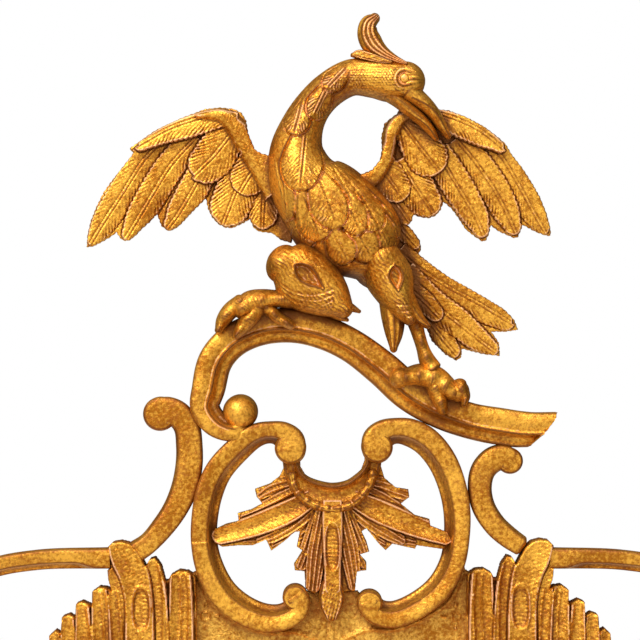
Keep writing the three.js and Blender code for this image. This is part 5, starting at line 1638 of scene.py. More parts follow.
@dataclass(frozen=True)
class ShellSpray:
    """The fluted spray that hangs from the ring's two upper volutes, and the leaf at its foot."""

    back: float = 8.0
    ground: float = 15.0
    axis: float = 332.0
    outline: Rows = (
        (286, 458), (284, 467), (279.5, 476.5), (270, 484), (254.6, 489.5), (256.5, 497.6), (262.3, 504),
        (250.8, 510), (237.4, 513.8), (238.4, 521.5), (226, 524.4), (216.3, 529), (206.8, 532),
        (208.7, 540.6), (222, 547.5), (239.3, 546), (252.7, 546), (266, 540), (271, 551.5), (284, 542),
        (294.8, 532.5), (299.6, 532), (296.7, 547.3), (302.4, 551), (293.8, 564.5), (294.8, 571),
        (304.4, 572), (305.3, 589.4), (313.9, 593.2), (332, 594), (355, 591.3), (357, 572), (366.5, 571),
        (366.5, 562.6), (359.8, 555), (369.4, 552), (366.5, 541.6), (361.7, 532), (366.5, 529), (379, 544.5),
        (385.7, 551), (392.4, 544.5), (415.3, 549.5), (417, 546), (444, 550), (453.5, 542), (447.8, 533),
        (430.6, 526.3), (429.7, 519.6), (415.3, 515.7), (401, 504.3), (409.6, 497.6), (408.6, 489.9),
        (396, 488), (384.7, 478.4), (381, 466), (379, 457), (364.6, 457), (364.6, 461), (359.8, 473.7),
        (348.4, 483), (333, 485), (317.7, 483), (306, 476.5), (300.5, 467), (300, 458),
    )
    petals: tuple = (
        Vane(((304, 483, 7), (286, 484, 8), (268, 490, 8), (262, 494, 6)), 16.0, 1.0, Flutes(3, 1.6)),
        Vane(((310, 524, 8), (288, 532, 9), (264, 538, 8), (246, 540, 5)), 15.5, 1.0, Flutes(3, 1.6)),
        Vane(((318, 510, 9), (300, 530, 9), (284, 541, 8), (276, 545, 5)), 16.0, 1.2, Flutes(4, 1.6)),
        Vane(((308, 489, 9), (284, 501, 10), (258, 513, 8.5), (246, 517, 6)), 17.0, 1.2, Flutes(3, 1.7)),
        Vane(((314, 504, 9), (296, 521, 9), (274, 535, 8), (262, 540, 6)), 17.5, 1.0, Flutes(3, 1.6)),
        Vane(((312, 498, 9), (290, 511, 12), (262, 523, 12), (238, 531, 10.5), (221, 535.5, 9.5)), 18.5, 1.5,
             LOBE),
        Vane(((320, 512, 8), (310, 545, 9), (303, 563, 8)), 17.5, 1.0, Flutes(4, 1.6)),
        Vane(((324, 512, 8), (317, 552, 10), (313, 586, 8)), 19.0, 1.5, Flutes(4, 1.7)),
    )
    petals_right: tuple = (
        Vane(((304, 483, 7), (286, 484, 8), (268, 490, 9), (260, 493, 8)), 16.0, 1.0, Flutes(3, 1.6)),
        Vane(((310, 523, 8), (286, 533, 10), (262, 541, 8), (252, 543, 5)), 15.5, 1.0, Flutes(3, 1.6)),
        Vane(((318, 508, 9), (300, 527, 9), (290, 539, 8), (283, 543, 5)), 16.0, 1.2, Flutes(4, 1.6)),
        Vane(((308, 489, 9), (284, 503, 11), (260, 515, 8.5), (250, 519, 6)), 17.0, 1.2, Flutes(3, 1.7)),
        Vane(((314, 504, 9), (296, 520, 9), (276, 533, 8), (264, 540, 6)), 17.5, 1.0, Flutes(3, 1.6)),
        Vane(((312, 498, 9), (288, 510, 12), (260, 522, 12), (236, 531, 10.5), (219, 536.5, 9)), 18.5, 1.5,
             LOBE),
        Vane(((320, 512, 8), (307, 543, 9), (300, 561, 8)), 17.5, 1.0, Flutes(4, 1.6)),
        Vane(((324, 512, 8), (315, 550, 10), (309, 586, 7)), 19.0, 1.5, Flutes(4, 1.7)),
    )
    tongue: Rows = ((332.5, 500, 10), (332.5, 520, 10.5), (332.5, 548, 10), (332.5, 568, 9), (332.5, 588, 9))
    saddle: Rows = (
        (290, 458, 8), (291, 466, 8), (294, 476.5, 9.5), (302, 486, 11), (315, 492.5, 12), (333, 496, 12.5),
        (351, 492, 12), (362.5, 483.5, 11), (370, 474, 9.5), (373.5, 464, 8), (374, 457, 8),
    )
    saddle_front: float = 24.5
    leaf: Rows = ((331, 584, 10), (331.5, 596, 13), (331.2, 607, 11.5), (331.6, 617, 6))

    def ruffle(self) -> Array:
        """The frill below the saddle.

        Formula: a band along the saddle's lower edge whose front waves as |sin| of the run and whose edge
        waves with it.

        Returns:
            The frill, as rings of points.
        """
        rows = np.array(self.saddle[1:-1], float)
        rows[:, 1] += np.array([7, 9, 11, 12.5, 13, 12.5, 11, 9, 7])
        rows[:, 2] = 5.0

        def frill(run: Array, across: Array, half: Array, x: Array, z: Array) -> Array:
            """The waves of the frill."""
            wave = np.abs(np.sin(np.pi * run / 6.8 + 0.5 * np.sin(0.8 * run)))
            return 1.1 * (wave - 0.7) + 0.2 * np.sin(1.4 * across + 2.4 * wave + 0.4 * run)

        return loft(DRAWING.bar(rows, self.back, 23.2), RIB, 0.45, (0.5, 0.5), 1, frill, (6.8, 0.3))

    def build(self, shop: Workshop) -> None:
        """Hands over the spray and its leaf."""
        skin = Skin()
        other = [mirrored(vane, self.axis) for vane in self.petals_right]
        bars = [Cut(((313, y), (332, y + 0.5), (357, y)), 0.7, 0.5) for y in (551.5, 555.5)]
        tongue = Vane(self.tongue, 21.5, 1.0, Together((*bars, Basin((332.3, 547.3), (7.6, 24.5)))), 0.8)
        height = layered(self.ground, (*self.petals, *other, tongue), Ripples(2.0, 0.08, 0.4, 2.0))
        Board(DRAWING.rows(self.outline), self.back, 0.46, 1.0).into(skin, height)
        skin.tube(self.ruffle())
        cove = Section(
            (
                (-1, 0.02), (-1, 0.3), (-0.95, 0.55), (-0.7, 0.66), (-0.2, 0.6), (0.25, 0.62), (0.52, 0.72),
                (0.62, 0.93), (0.76, 1.0), (0.9, 0.96), (0.98, 0.8), (1, 0.5), (1, 0.02),
            ),
            64,
            1.2,
        )
        skin.tube(loft(DRAWING.bar(self.saddle, self.back, self.saddle_front), cove, 0.45, (0.1, 0.1), 1))
        shop.take(Piece("shell_spray_carved", skin, ("shell_spray",), "gilt_shell", Finish.SHELL))
        rows = DRAWING.bar(self.leaf, 12.3, 23.5)

        def rimmed(run: Array, across: Array, half: Array, x: Array, z: Array) -> Array:
            """A raised edge with a rough floor."""
            edge = np.exp(-(((np.abs(across) / half - 0.84) / 0.1) ** 2))
            return 1.2 * edge - 0.9 + 0.22 * np.sin(1.9 * x + 0.7 * z) * np.sin(1.4 * z - 1.1 * x)

        leaf = Skin().tube(loft(rows, RIB, 0.45, (0.6, 0.8), 1, rimmed))
        shop.take(Piece("pendant_leaf_carved", leaf, ("pendant_leaf",), "gilt_shell", Finish.SHELL))


@dataclass(frozen=True)
class CrestPanel:
    """The gilded ground that the ring stands on, with two stamped flowers."""

    outline: Rows = (
        (170, 681.6), (172, 600), (180, 580), (196, 572), (204, 543), (210, 568), (224, 594), (245, 611),
        (267, 618), (287, 617), (300, 606), (306, 592), (358, 592), (366, 605), (374, 613), (394, 614.5),
        (416, 605.5), (438, 588), (452, 563), (457, 537), (466, 571), (480, 578), (488, 600), (490, 681.6),
    )
    front: float = 12.0
    flowers: tuple = (Flower((205.6, 617)), Flower((455.9, 617.5)))
    rims: tuple = (
        ((197, 575), (201, 585), (211, 603), (226, 617), (245, 628), (270, 634), (295, 633), (318, 640)),
        ((463, 575), (459, 585), (449, 603), (434, 614), (415, 624), (392, 631), (368, 631), (345, 640)),
    )

    def build(self, shop: Workshop) -> None:
        """Hands over the panel."""
        lines = [Cut(rim, 1.7, 1.3) for rim in self.rims]
        fans = [
            Cut(((331 + dx, 622 + abs(dx) * 0.2), (331 + 1.9 * dx, 650), (331 + 2.8 * dx, 680)), -0.8, 0.8)
            for dx in (-16, -9, -3, 3, 9, 16)
        ]
        carving = Together((
            *self.flowers, *lines, *fans, Ripples(3.4, 0.06, 0.5, 2.0),
            Punches((330, 650), (170, 60), 3.1, 0.15),
        ))
        skin = Skin()
        Board(DRAWING.rows(self.outline), 0.0, 0.85, 1.5).into(skin, on_board(self.front, carving))
        shop.take(Piece("crest_panel_carved", skin, ("crest_panel",), "gilt_ground", Finish.GROUND))


@dataclass(frozen=True)
class Shoulder:
    """One rocaille shoulder: upright lobes lying against each other, thin ridges, an oval and a curled
    leaf."""

    name: str
    flipped: bool
    back: float = 0.0
    ground: float = 19.0
    foot: float = 660.0
    outline: Rows = (
        (197, 681.6), (196, 577), (188, 571.5), (179, 570.5), (171, 575), (167.5, 581), (165, 581),
        (161, 566), (155, 557.6), (150, 559), (145.5, 566), (142.5, 560), (137, 550), (130, 543.5),
        (121, 541.2), (112.5, 542.5), (107, 548), (108.5, 558), (111, 568), (107, 571), (109, 582),
        (112, 591), (107, 588), (99, 587), (92, 592), (92.4, 606), (89.5, 605), (82, 601.5), (76, 604),
        (74.5, 618), (69, 614.5), (62, 617), (60.5, 634), (55, 630.5), (49, 636), (47.5, 681.6),
    )
    lobes: tuple = (
        (((55, 684, 9), (54, 660, 8.5), (54, 645, 8), (53, 631, 6.5)), 21.0, 1.6),
        (((69, 684, 9), (69, 655, 8.5), (68, 630, 8), (67.5, 615, 6.5)), 22.0, 1.8),
        (((86, 684, 11), (85, 655, 10), (83.5, 622, 8.5), (82, 602, 7)), 23.0, 2.0),
        (((104, 684, 12.5), (104, 655, 12), (102, 615, 11), (99.5, 588, 8)), 24.0, 2.4),
        (((181, 684, 14), (181, 640, 13.5), (181, 600, 12.5), (180.5, 571, 11)), 23.5, 2.2),
        (((158, 684, 12), (158, 640, 12), (157.5, 600, 10.5), (154.5, 558, 8)), 24.5, 2.2),
        (((121, 684, 11), (120, 640, 10.5), (117, 600, 9), (113, 570, 6)), 24.0, 1.8),
        ((
            (140, 684, 15), (140, 640, 15), (139, 600, 14.5), (134, 574, 15.5), (125, 556, 15),
            (120, 541.5, 13),
        ), 25.5, 0.6),
    )
    ridges: tuple = (
        ((180.5, 577), (181.5, 600), (179, 640), (176, 681)),
        ((187.5, 577), (189.5, 600), (188.5, 640), (188, 681)),
        ((158.5, 562), (163, 585), (164, 620), (163, 681)),
        ((100.5, 592), (103.5, 615), (104.5, 650), (105, 681)),
        ((107, 596), (109.5, 620), (111, 650), (112, 681)), ((87.5, 610), (91, 635), (93, 681)),
        ((118, 592), (120.5, 612), (122, 640), (123, 681)),
    )
    oval: tuple = ((141.5, 609), (9.2, 22.5))

    def place(self, rows: Rows) -> Rows:
        """The rows as drawn, or turned over for the right-hand shoulder, which is a little narrower and
        higher."""
        if not self.flipped:
            return rows
        return tuple((659.0 - 0.98 * x, y if y > self.foot else y - 2.0, *rest) for x, y, *rest in rows)

    def build(self, shop: Workshop) -> None:
        """Hands over the shoulder."""
        bed = Ripples(2.9, 0.06, 0.3, 2.0)
        vanes = [
            Vane(self.place(rows), front, 0.6, Together((Scoop(depth, 0.5), bed)), cut=1.0)
            for rows, front, depth in self.lobes
        ]
        lines = [Cut(self.place(line), 1.2, 0.9) for line in self.ridges]
        (centre,) = self.place((self.oval[0],))
        carving = Together((*lines, Basin(centre, self.oval[1])))
        skin = Skin()
        Board(DRAWING.rows(self.place(self.outline)), self.back, 0.55, 1.6).into(
            skin, layered(self.ground, vanes, carving)
        )
        shop.take(Piece(f"{self.name}_carved", skin, (self.name,), "gilt_shell", Finish.SHELL))


SHOULDERS = (Shoulder("shoulder_shell_left", False), Shoulder("shoulder_shell_right", True))


# ----------------------------------------------------------------------------------------------------------
# The bird
# ----------------------------------------------------------------------------------------------------------

ROUND_BODY = Section(HALF_ROUND.keys, 130, 1.2)


def web(first: float = 2.0, tilt: float = 0.0, calm: int = 0, depth: float = 1.2, sag: float = 0.5) -> Barbs:
    """A feather's web with its quill starting after a length."""
    return Barbs(depth=depth, tilt=tilt, sag=sag, quill=(first, 1e9), calm=calm)


@dataclass(frozen=True)
class Wing:
    """One wing: feathers in low relief on one board, under a smooth rounded leading edge."""

    name: str
    outline: Rows
    feathers: tuple
    arm: tuple
    back: float = 10.0
    ground: float = 15.5

    def build(self, shop: Workshop) -> None:
        """Hands over the wing."""
        skin = Skin()
        outline = frilled(DRAWING.rows(self.outline), 3.4, 0.45)
        height = layered(self.ground, (*self.feathers, *self.arm), Ripples(1.9, 0.06, 0.9, 2.5))
        Board(outline, self.back, 0.45, 1.3).into(skin, height)
        shop.take(Piece(f"{self.name}_carved", skin, (self.name,), "gilt_bird", Finish.BIRD))


WINGS = (
    Wing(
        "wing_left",
        (
            (262, 154), (255, 150), (248, 133), (246, 120), (241.5, 112.5), (234, 108.5), (220, 107),
            (205, 108.5), (181, 117.5), (155, 130), (129, 148), (133, 153), (126, 162), (118, 172),
            (110, 182), (103, 192), (96, 206), (90, 221), (87, 234), (86, 247), (92, 246.5), (99, 243),
            (108, 238), (116, 232), (119, 237.5), (123, 240.5), (128.5, 240.5), (135, 235.5), (141, 229),
            (149, 222), (156.5, 214), (161, 226), (168, 231), (174, 229), (179.5, 225), (187, 217),
            (195, 208.6), (205.6, 198), (207.6, 208.6), (212, 217.5), (218, 224), (225, 227.5), (232, 228),
            (243, 223), (249.6, 219), (253.5, 228), (259, 231.5), (264, 232), (272, 233), (281, 240),
            (292, 243), (292, 210), (290, 160),
        ),
        (
            Vane((
                (172, 128, 14), (145, 158, 15), (119, 198, 15), (102, 224, 13, 12), (93, 239, 9, 7),
            ), 17.0, 0.8,
                 web(6, -0.6, -1), notch=0.07),
            Vane(((196, 136, 14), (170, 166, 15), (150, 198, 15), (137, 220, 13), (129, 233, 8)), 17.9, 0.8,
                 web(6, -0.6, -1), notch=0.07),
            Vane(((212, 150, 14), (201, 174, 15), (188, 198, 15), (177, 216, 12.5), (171, 224, 8)), 18.8, 0.8,
                 web(6, -0.6, -1), notch=0.07),
            Vane(((266, 160, 18), (264, 190, 18), (263, 214, 15)), 18.8, 0.5, web(10), notch=0.06),
            Vane(((246, 160, 17), (238, 185, 21), (230, 206, 20.5)), 19.8, 1.0, web(12, -0.4), notch=0.06),
            Vane(
                ((262, 150, 16), (256, 165, 20), (249, 177, 19)), 20.8, 0.8, web(6, 0.0, 0, 1.0), notch=0.06,
            ),
            Vane(((240, 121, 8, 14), (228, 138, 17, 20), (213, 157, 22, 21), (207, 163, 21, 19)), 21.4, 1.2,
                 web(3, -0.4, 0, 1.2), notch=0.06),
            Vane((
                (238, 116, 9, 4), (215, 115, 15, 6), (190, 121, 17, 6), (166, 130, 14, 5), (143, 143, 8, 4),
            ), 22.6,
                 0.6, web(3, 1.0, -1, 1.2, 0.0), 1.3, notch=0.06),
        ),
        (
            Vane((
                (282, 186, 24), (264, 166, 17), (247, 146, 13), (236, 128, 12), (222, 116, 9), (200, 116, 5),
            ), 21.5,
                 0.0, Swell(5.5), edge=3.5, cut=0.0),
        ),
    ),
    Wing(
        "wing_right",
        (
            (400, 106), (420, 108), (435, 108.5), (450, 110), (466, 117), (485, 127), (497, 135.5),
            (506, 143.5), (512, 154), (523, 168), (532, 182), (540, 196), (547, 213), (551, 228),
            (551.5, 235), (549, 236), (541, 233.5), (533, 230), (523.5, 224.6), (521.5, 230), (518.5, 237),
            (515, 238), (508, 235), (499, 231), (491, 225), (490, 232), (487, 240), (483, 241.5),
            (474, 235.5), (466, 229), (459, 218), (452.5, 209), (444, 201.5), (441, 210), (436, 215.5),
            (429, 218), (421, 217), (413.5, 214.5), (412, 221), (407, 226.5), (392, 222), (372, 200),
            (360, 175), (372, 170), (380, 160), (382, 150), (381.5, 136), (384.5, 123), (390, 118.5),
            (397.5, 113),
        ),
        (
            Vane(((480, 130, 13), (501, 155, 15), (520, 186, 15), (534, 212, 13), (542, 226, 9)), 17.0, 0.8,
                 web(6, 0.6, 1), notch=0.07),
            Vane((
                (456, 138, 14), (478, 165, 15.5), (496, 192, 15.5), (508, 215, 13), (513, 226, 9),
            ), 17.9, 0.8,
                 web(6, 0.6, 1), notch=0.07),
            Vane(((436, 150, 14), (451, 175, 16), (465, 198, 15.5), (477, 219, 13), (481, 229, 9)), 18.8, 0.8,
                 web(6, 0.6, 1), notch=0.07),
            Vane(((382, 180, 17), (394, 200, 17), (403, 213, 13)), 18.8, 0.5, web(10), notch=0.06),
            Vane(((399, 160, 17), (413, 183, 20), (425, 201, 17)), 19.8, 1.0, web(12, 0.4), notch=0.06),
            Vane(
                ((376, 160, 15), (387, 176, 18), (395, 187, 16)), 20.8, 0.8, web(6, 0.0, 0, 1.0), notch=0.06,
            ),
            Vane(
                ((400, 120, 14, 8), (413, 138, 20, 17), (427, 156, 21, 21)), 21.4, 1.2, web(3, 0.4, 0, 1.2),
                notch=0.06,
            ),
            Vane((
                (428, 111, 4, 9), (450, 117, 6, 16), (472, 126, 7, 17), (488, 136, 6, 14), (499, 145, 5, 8),
            ), 22.6,
                 0.6, web(3, -1.0, 1, 1.2, 0.0), 1.1, notch=0.06),
        ),
        (
            Vane(((360, 186, 14), (374, 174, 12), (385, 158, 10), (389.5, 144, 8.5), (392, 131, 9),
                  (400, 119, 8),
                  (416, 113, 5)), 21.5, 0.0, Swell(4.5), edge=3.0, cut=0.0),
        ),
    ),
)


@dataclass(frozen=True)
class Bird:
    """The long-necked crested bird, apart from its wings."""

    trunk: Rows = (
        (405, 82, 20, 20, 49), (390, 82, 20.5, 20, 49), (374, 79.5, 18.8, 20, 48), (352, 77.8, 18.2, 20, 46),
        (329, 90, 17.8, 18, 46), (312, 108, 18.7, 16, 46), (301.5, 128.5, 22, 14, 48), (297, 151, 28, 10, 50),
        (303, 178, 37, 6, 54), (325, 204, 47, 4, 56), (347, 227.5, 50, 4, 56), (365, 246, 45, 5, 54),
        (378, 263, 27, 8, 46),
    )
    eye: tuple = (403.6, 81)
    eye_rings: Rows = ((0, 4.6, -2.0), (5.6, 1.1, -1.3), (7.6, 1.2, 0.9), (9.6, 1.2, -0.6))
    brow: Rows = (
        (352, 61), (362, 65), (376, 66), (390, 64.5), (402, 65.5), (411.7, 70.5), (417.5, 79), (418, 88),
        (414, 96),
    )
    brow_inner: Rows = (
        (391, 74), (398, 70), (406, 70), (413, 76), (414.5, 84), (411, 92), (403, 95.5), (395, 92),
    )
    plumes: tuple = (
        Plume(
            (372, 196), (404, 236), 13,
        ), Plume((362, 200), (390, 250), 14), Plume((346, 214), (372, 262), 16),
        Plume(
            (330, 228), (349, 264), 14,
        ), Plume((300, 222), (306, 250), 13), Plume((283, 176), (287, 222), 12),
        Plume(
            (352, 184), (378, 232), 15,
        ), Plume((338, 184), (360, 236), 15), Plume((300, 190), (322, 242), 17),
        Plume((313, 168), (338, 230), 19), Plume(
            (306.5, 124), (299.5, 193), 21,
        ), Plume((304, 98), (293, 138), 13),
        Plume((330, 84), (312, 121), 12), Plume((350, 66), (325, 92), 11, 0.8),
    )
    lines: tuple = (
        Cut(((309, 88), (298, 106), (280, 128), (272, 143)), -0.9, 0.6),
        Cut(((345, 172), (362, 186), (384, 208), (402, 232)), -1.0, 0.7),
        Cut(((334, 166), (350, 184), (368, 208), (380, 232)), -0.9, 0.6),
        Cut(((328, 160), (340, 180), (352, 200)), -0.8, 0.5),
        Cut(((271, 150), (272, 178), (278, 210), (290, 238)), -0.8, 0.6),
        Cut(((276, 160), (281, 186), (288, 208)), -0.7, 0.5),
        Cut(((297.5, 198), (298, 212), (299.5, 226)), 1.1, 1.2),
    )
    beak_upper: Rows = (
        (408, 93, 11, 24, 46), (416, 99, 10, 24, 45.5), (426, 107, 8.2, 24, 44), (435, 117, 6.6, 24, 42),
        (442.5, 129, 4.8, 25, 39), (448, 137.5, 2.8, 26, 37),
    )
    beak_lower: Rows = (
        (386, 95.5, 6, 24, 41), (398, 101.5, 7, 24, 42), (410, 111, 6.8, 24, 41), (
            422, 121.5, 5.8, 24, 39.5,
        ), (431.5, 132.5, 4.2, 25, 37.5),
        (436, 139.5, 2.4, 26, 35),
    )
    comb: tuple = (
        ((351.5, 56.5, 1.5), (358, 56, 4.6), (368, 58.5, 5), (380, 62, 3.6), (391, 64.5, 1.5)),
        (
            (406, 66, 2), (393, 60.5, 4.6), (381.5, 54, 7.6), (372, 45, 10.8), (367.3, 34, 10.2),
            (368.8, 25, 8.6), (374.5, 19.7, 5.2),
        ),
    )
    tail_outline: Rows = (
        (385, 240), (392, 214), (404, 221), (412, 229), (420, 240), (421.5, 249), (419, 254), (434, 266),
        (449.8, 277.3), (480.4, 294.5), (504.4, 308.9), (515, 320), (518.7, 330), (506, 332), (492, 331.8),
        (499.6, 343), (500.5, 356.2), (484, 354.5), (462.3, 349), (462, 357), (457, 361), (446, 355),
        (432, 341), (426, 326), (404, 300),
    )
    tail: tuple = (
        Vane(((396, 222, 10), (406, 234, 9), (414, 243, 7)), 17.5, 0.5, web(2, depth=0.8)),
        Vane((
            (398, 252, 12), (424, 272, 12, 16), (450, 288, 11, 18), (480, 304, 10, 18), (505, 319, 8, 12),
        ), 16.5,
             1.0, web(8, 0.6, 1), notch=0.06),
        Vane(((410, 296, 15), (426, 318, 15), (442, 338, 13), (452, 350, 9)), 17.3, 0.8, web(8), notch=0.06),
        Vane((
            (402, 274, 16), (432, 303, 15, 15), (458, 323, 15, 14), (478, 339, 12, 13), (490, 348, 9),
        ), 18.3, 1.0,
             web(8, 0.4, 1), notch=0.06),
        Vane(((408, 288, 10), (424, 302, 11), (435, 313, 9)), 19.6, 1.0, web(2, depth=0.7), cut=1.0),
    )
    thigh_left: Rows = ((283, 264, 20), (292, 269, 30), (309, 281, 33), (332, 299, 22), (346, 311, 10))
    thigh_right: Rows = ((381, 260, 21), (389, 278, 24), (397, 298, 18), (405, 313, 11), (411, 320, 7))
    foot_left: tuple = (
        ((290, 300, 9), (276, 299, 9), (264, 300, 11), (250, 303, 12), (242, 309, 10)),
        ((241, 302, 8), (230.5, 311, 8.5), (223, 321, 7), (219, 330, 4)),
        ((258, 308, 9), (250, 318, 9), (241, 329, 7), (237, 335, 4)),
        ((268, 308, 7), (279, 318, 6), (291, 325, 5)),
    )
    foot_right: tuple = (
        ((406, 377, 9), (420, 375, 11.5), (434, 378.5, 13), (449, 390, 11)),
        ((432, 380, 10), (438, 396, 9), (442, 409, 6)), ((458, 386, 9), (464, 396, 6), (463, 404, 3)),
    )
    shank: Rows = (
        (411, 312, 9), (415.5, 325, 7.5), (419, 337, 6.5), (422.5, 348, 6.5), (426, 358, 8), (431, 368, 10),
    )
    tuft: Rows = ((390, 294, 12), (393, 316, 12), (394, 334, 9), (393.5, 348, 4))
    cuffs: tuple = (
        ((326, 292, 9), (341, 302, 6), (352, 308, 4), (359, 311.5, 2)),
        ((318, 302, 9), (332, 312, 6), (342, 317.5, 4), (347, 320, 2)),
        ((404, 300, 12), (410, 310, 10), (418, 319, 7), (427, 326, 3)),
    )
    knobs: tuple = (Boss(399, 377.5, 10.5, 0.5), Boss(458, 391, 11, 0.5))

    def body(self, shop: Workshop) -> None:
        """Hands over the trunk with the neck, head, eye and beak."""
        rows = DRAWING.rows(self.trunk)
        throat = Punches((372, 84), (50, 20), 1.9, 0.32)
        nape = Ripples(1.9, 0.05, 0.7, 2.2)
        carving = Together((
            Plumage(self.plumes), Rings(self.eye, self.eye_rings), Cut(self.brow, 0.9, 0.9),
            Cut(self.brow_inner, 0.5, 0.7), *self.lines, throat, nape,
        ))
        skin = Skin().tube(loft(rows, ROUND_BODY, 0.5, (1.0, 1.0), 1, carving))
        ((x, z),) = DRAWING.rows([self.eye])
        skin.tube(volute((x, z, 2.9, 40.0, 48.2), 0.12), 0.75)
        ridge = Together((
            Cut(((411.7, 100), (421, 104.5), (430, 110), (438, 119), (444, 129), (449, 138)), 0.7, 0.7),
            Cut(((409, 104), (420, 112), (430, 122)), -1.4, 0.9),
        ))
        skin.tube(loft(DRAWING.rows(self.beak_upper), HALF_ROUND, 0.4, (0.3, 0.9), 1, ridge))
        lip = Cut(((394, 105), (403, 111), (413, 118), (426, 127.5), (436, 141)), 0.7, 0.7)
        skin.tube(loft(DRAWING.rows(self.beak_lower), HALF_ROUND, 0.4, (0.3, 0.9), 1, lip))
        shop.take(Piece("bird_body_carved", skin, ("bird_body",), "gilt_bird", Finish.BIRD))

    def crown(self, shop: Workshop) -> None:
        """Hands over the comb."""
        skin = Skin()
        for number, rows in enumerate(self.comb):
            stations = DRAWING.bar(rows, 26.0, 40.5)
            stations[:, 4] += (
                np.linspace(3.5, -2.0, len(rows)) if number else np.linspace(-1.0, 3.0, len(rows))
            )
            skin.tube(loft(stations, RIB, 0.4, (0.8, 1.0), 1, Flutes(5, 1.1) if number else Scoop(1.0, 0.8)))
        shop.take(Piece("bird_comb_carved", skin, ("bird_comb",), "gilt_bird", Finish.BIRD))

    def fan(self, shop: Workshop) -> None:
        """Hands over the tail."""
        skin = Skin()
        outline = frilled(DRAWING.rows(self.tail_outline), 3.4, 0.4)
        Board(outline, 8.0, 0.45, 1.3).into(skin, layered(15.0, self.tail, Ripples(1.9, 0.06, 0.9, 2.5)))
        shop.take(Piece("tail_carved", skin, ("tail",), "gilt_bird", Finish.BIRD))

    @staticmethod
    def knuckles(run: Array, across: Array, half: Array, x: Array, z: Array) -> Array:
        """Swollen joints and wrinkles: 1.1 * sin(2 pi run / 11) and faint folds across, least at the
        sides."""
        folds = 0.05 * np.sin(3.3 * run + 0.9 * across + 0.8 * np.sin(0.9 * z))
        return (1.1 * np.sin(0.57 * run + 0.12 * x) + folds) * (1 - 0.5 * (across / (half + 1e-6)) ** 2)

    def legs(self, shop: Workshop) -> None:
        """Hands over both legs."""
        recess = Recess((323, 289), (296, 266), 7.5, 5.0, 0.9, 1.5)
        waves = [
            Cut((
                (272 + 3 * n, 276 + 7 * n), (290 + 4 * n, 291 + 6 * n), (312 + 5 * n, 296 + 5 * n),
                (332, 291 + 5 * n),
            ), -0.8, 0.6)
            for n in range(4)
        ]
        left = Skin().tube(
            loft(DRAWING.bar(self.thigh_left, 22, 56), ROUND_BODY, 0.5, (0.8, 0.6), 1,
                 Together((recess, *waves, Ripples(2.3, 0.12, 0.8, 2.0))))
        )
        for rows in self.cuffs[:2]:
            left.tube(loft(DRAWING.bar(rows, 23, 46), HALF_ROUND, 0.45, (0.6, 1.0), 1, Flutes(3, 0.8)))
        for number, rows in enumerate(self.foot_left):
            front = 44.0 if number == 0 else 42.0
            left.tube(loft(
                DRAWING.bar(rows, 24 + 0.2 * number, front), HALF_ROUND, 0.45, (0.8, 1.0), 1, self.knuckles,
            ))
        shop.take(Piece("leg_left_carved", left, ("leg_left",), "gilt_bird", Finish.BIRD))
        recess = Recess((397, 291), (394, 266.5), 6.5, 4.5, 0.9, 1.4)
        cuff = [
            Cut((
                (372 + 3 * n, 292 + 8 * n), (385 + 3 * n, 302 + 7 * n), (404, 306 + 6 * n),
                (416, 303 + 5 * n),
            ), -0.8, 0.6)
            for n in range(3)
        ]
        right = Skin().tube(
            loft(DRAWING.bar(self.thigh_right, 20, 54), ROUND_BODY, 0.5, (0.8, 0.6), 1,
                 Together((recess, *cuff, Ripples(2.3, 0.12, 0.8, 2.0))))
        )
        right.tube(loft(DRAWING.bar(self.cuffs[2], 23, 45), HALF_ROUND, 0.45, (0.6, 1.0), 1, Flutes(3, 0.8)))
        right.tube(
            loft(DRAWING.bar(self.tuft, 22, 40), HALF_ROUND, 0.45, (0.5, 1.2), 1, Flutes(4, 0.9, 9.0, 0.1)),
        )
        right.tube(loft(DRAWING.bar(self.shank, 24, 42), HALF_ROUND, 0.45, (0.5, 0.5), 1, self.knuckles))
        for number, rows in enumerate(self.foot_right):
            back, front = (20.0, 44.0) if number == 0 else (22.0 + number, 42.0)
            right.tube(loft(DRAWING.bar(rows, back, front), HALF_ROUND, 0.45, (0.8, 1.0), 1, self.knuckles))
        for knob in self.knobs:
            right.tube(knob.grid(20.5, 42))
        shop.take(Piece("leg_right_carved", right, ("leg_right",), "gilt_bird", Finish.BIRD))

    def build(self, shop: Workshop) -> None:
        """Hands over the whole bird."""
        self.body(shop)
        self.crown(shop)
        self.fan(shop)
        self.legs(shop)
        for wing in WINGS:
            wing.build(shop)


# ----------------------------------------------------------------------------------------------------------
# The frame and what is carved round it
# ----------------------------------------------------------------------------------------------------------


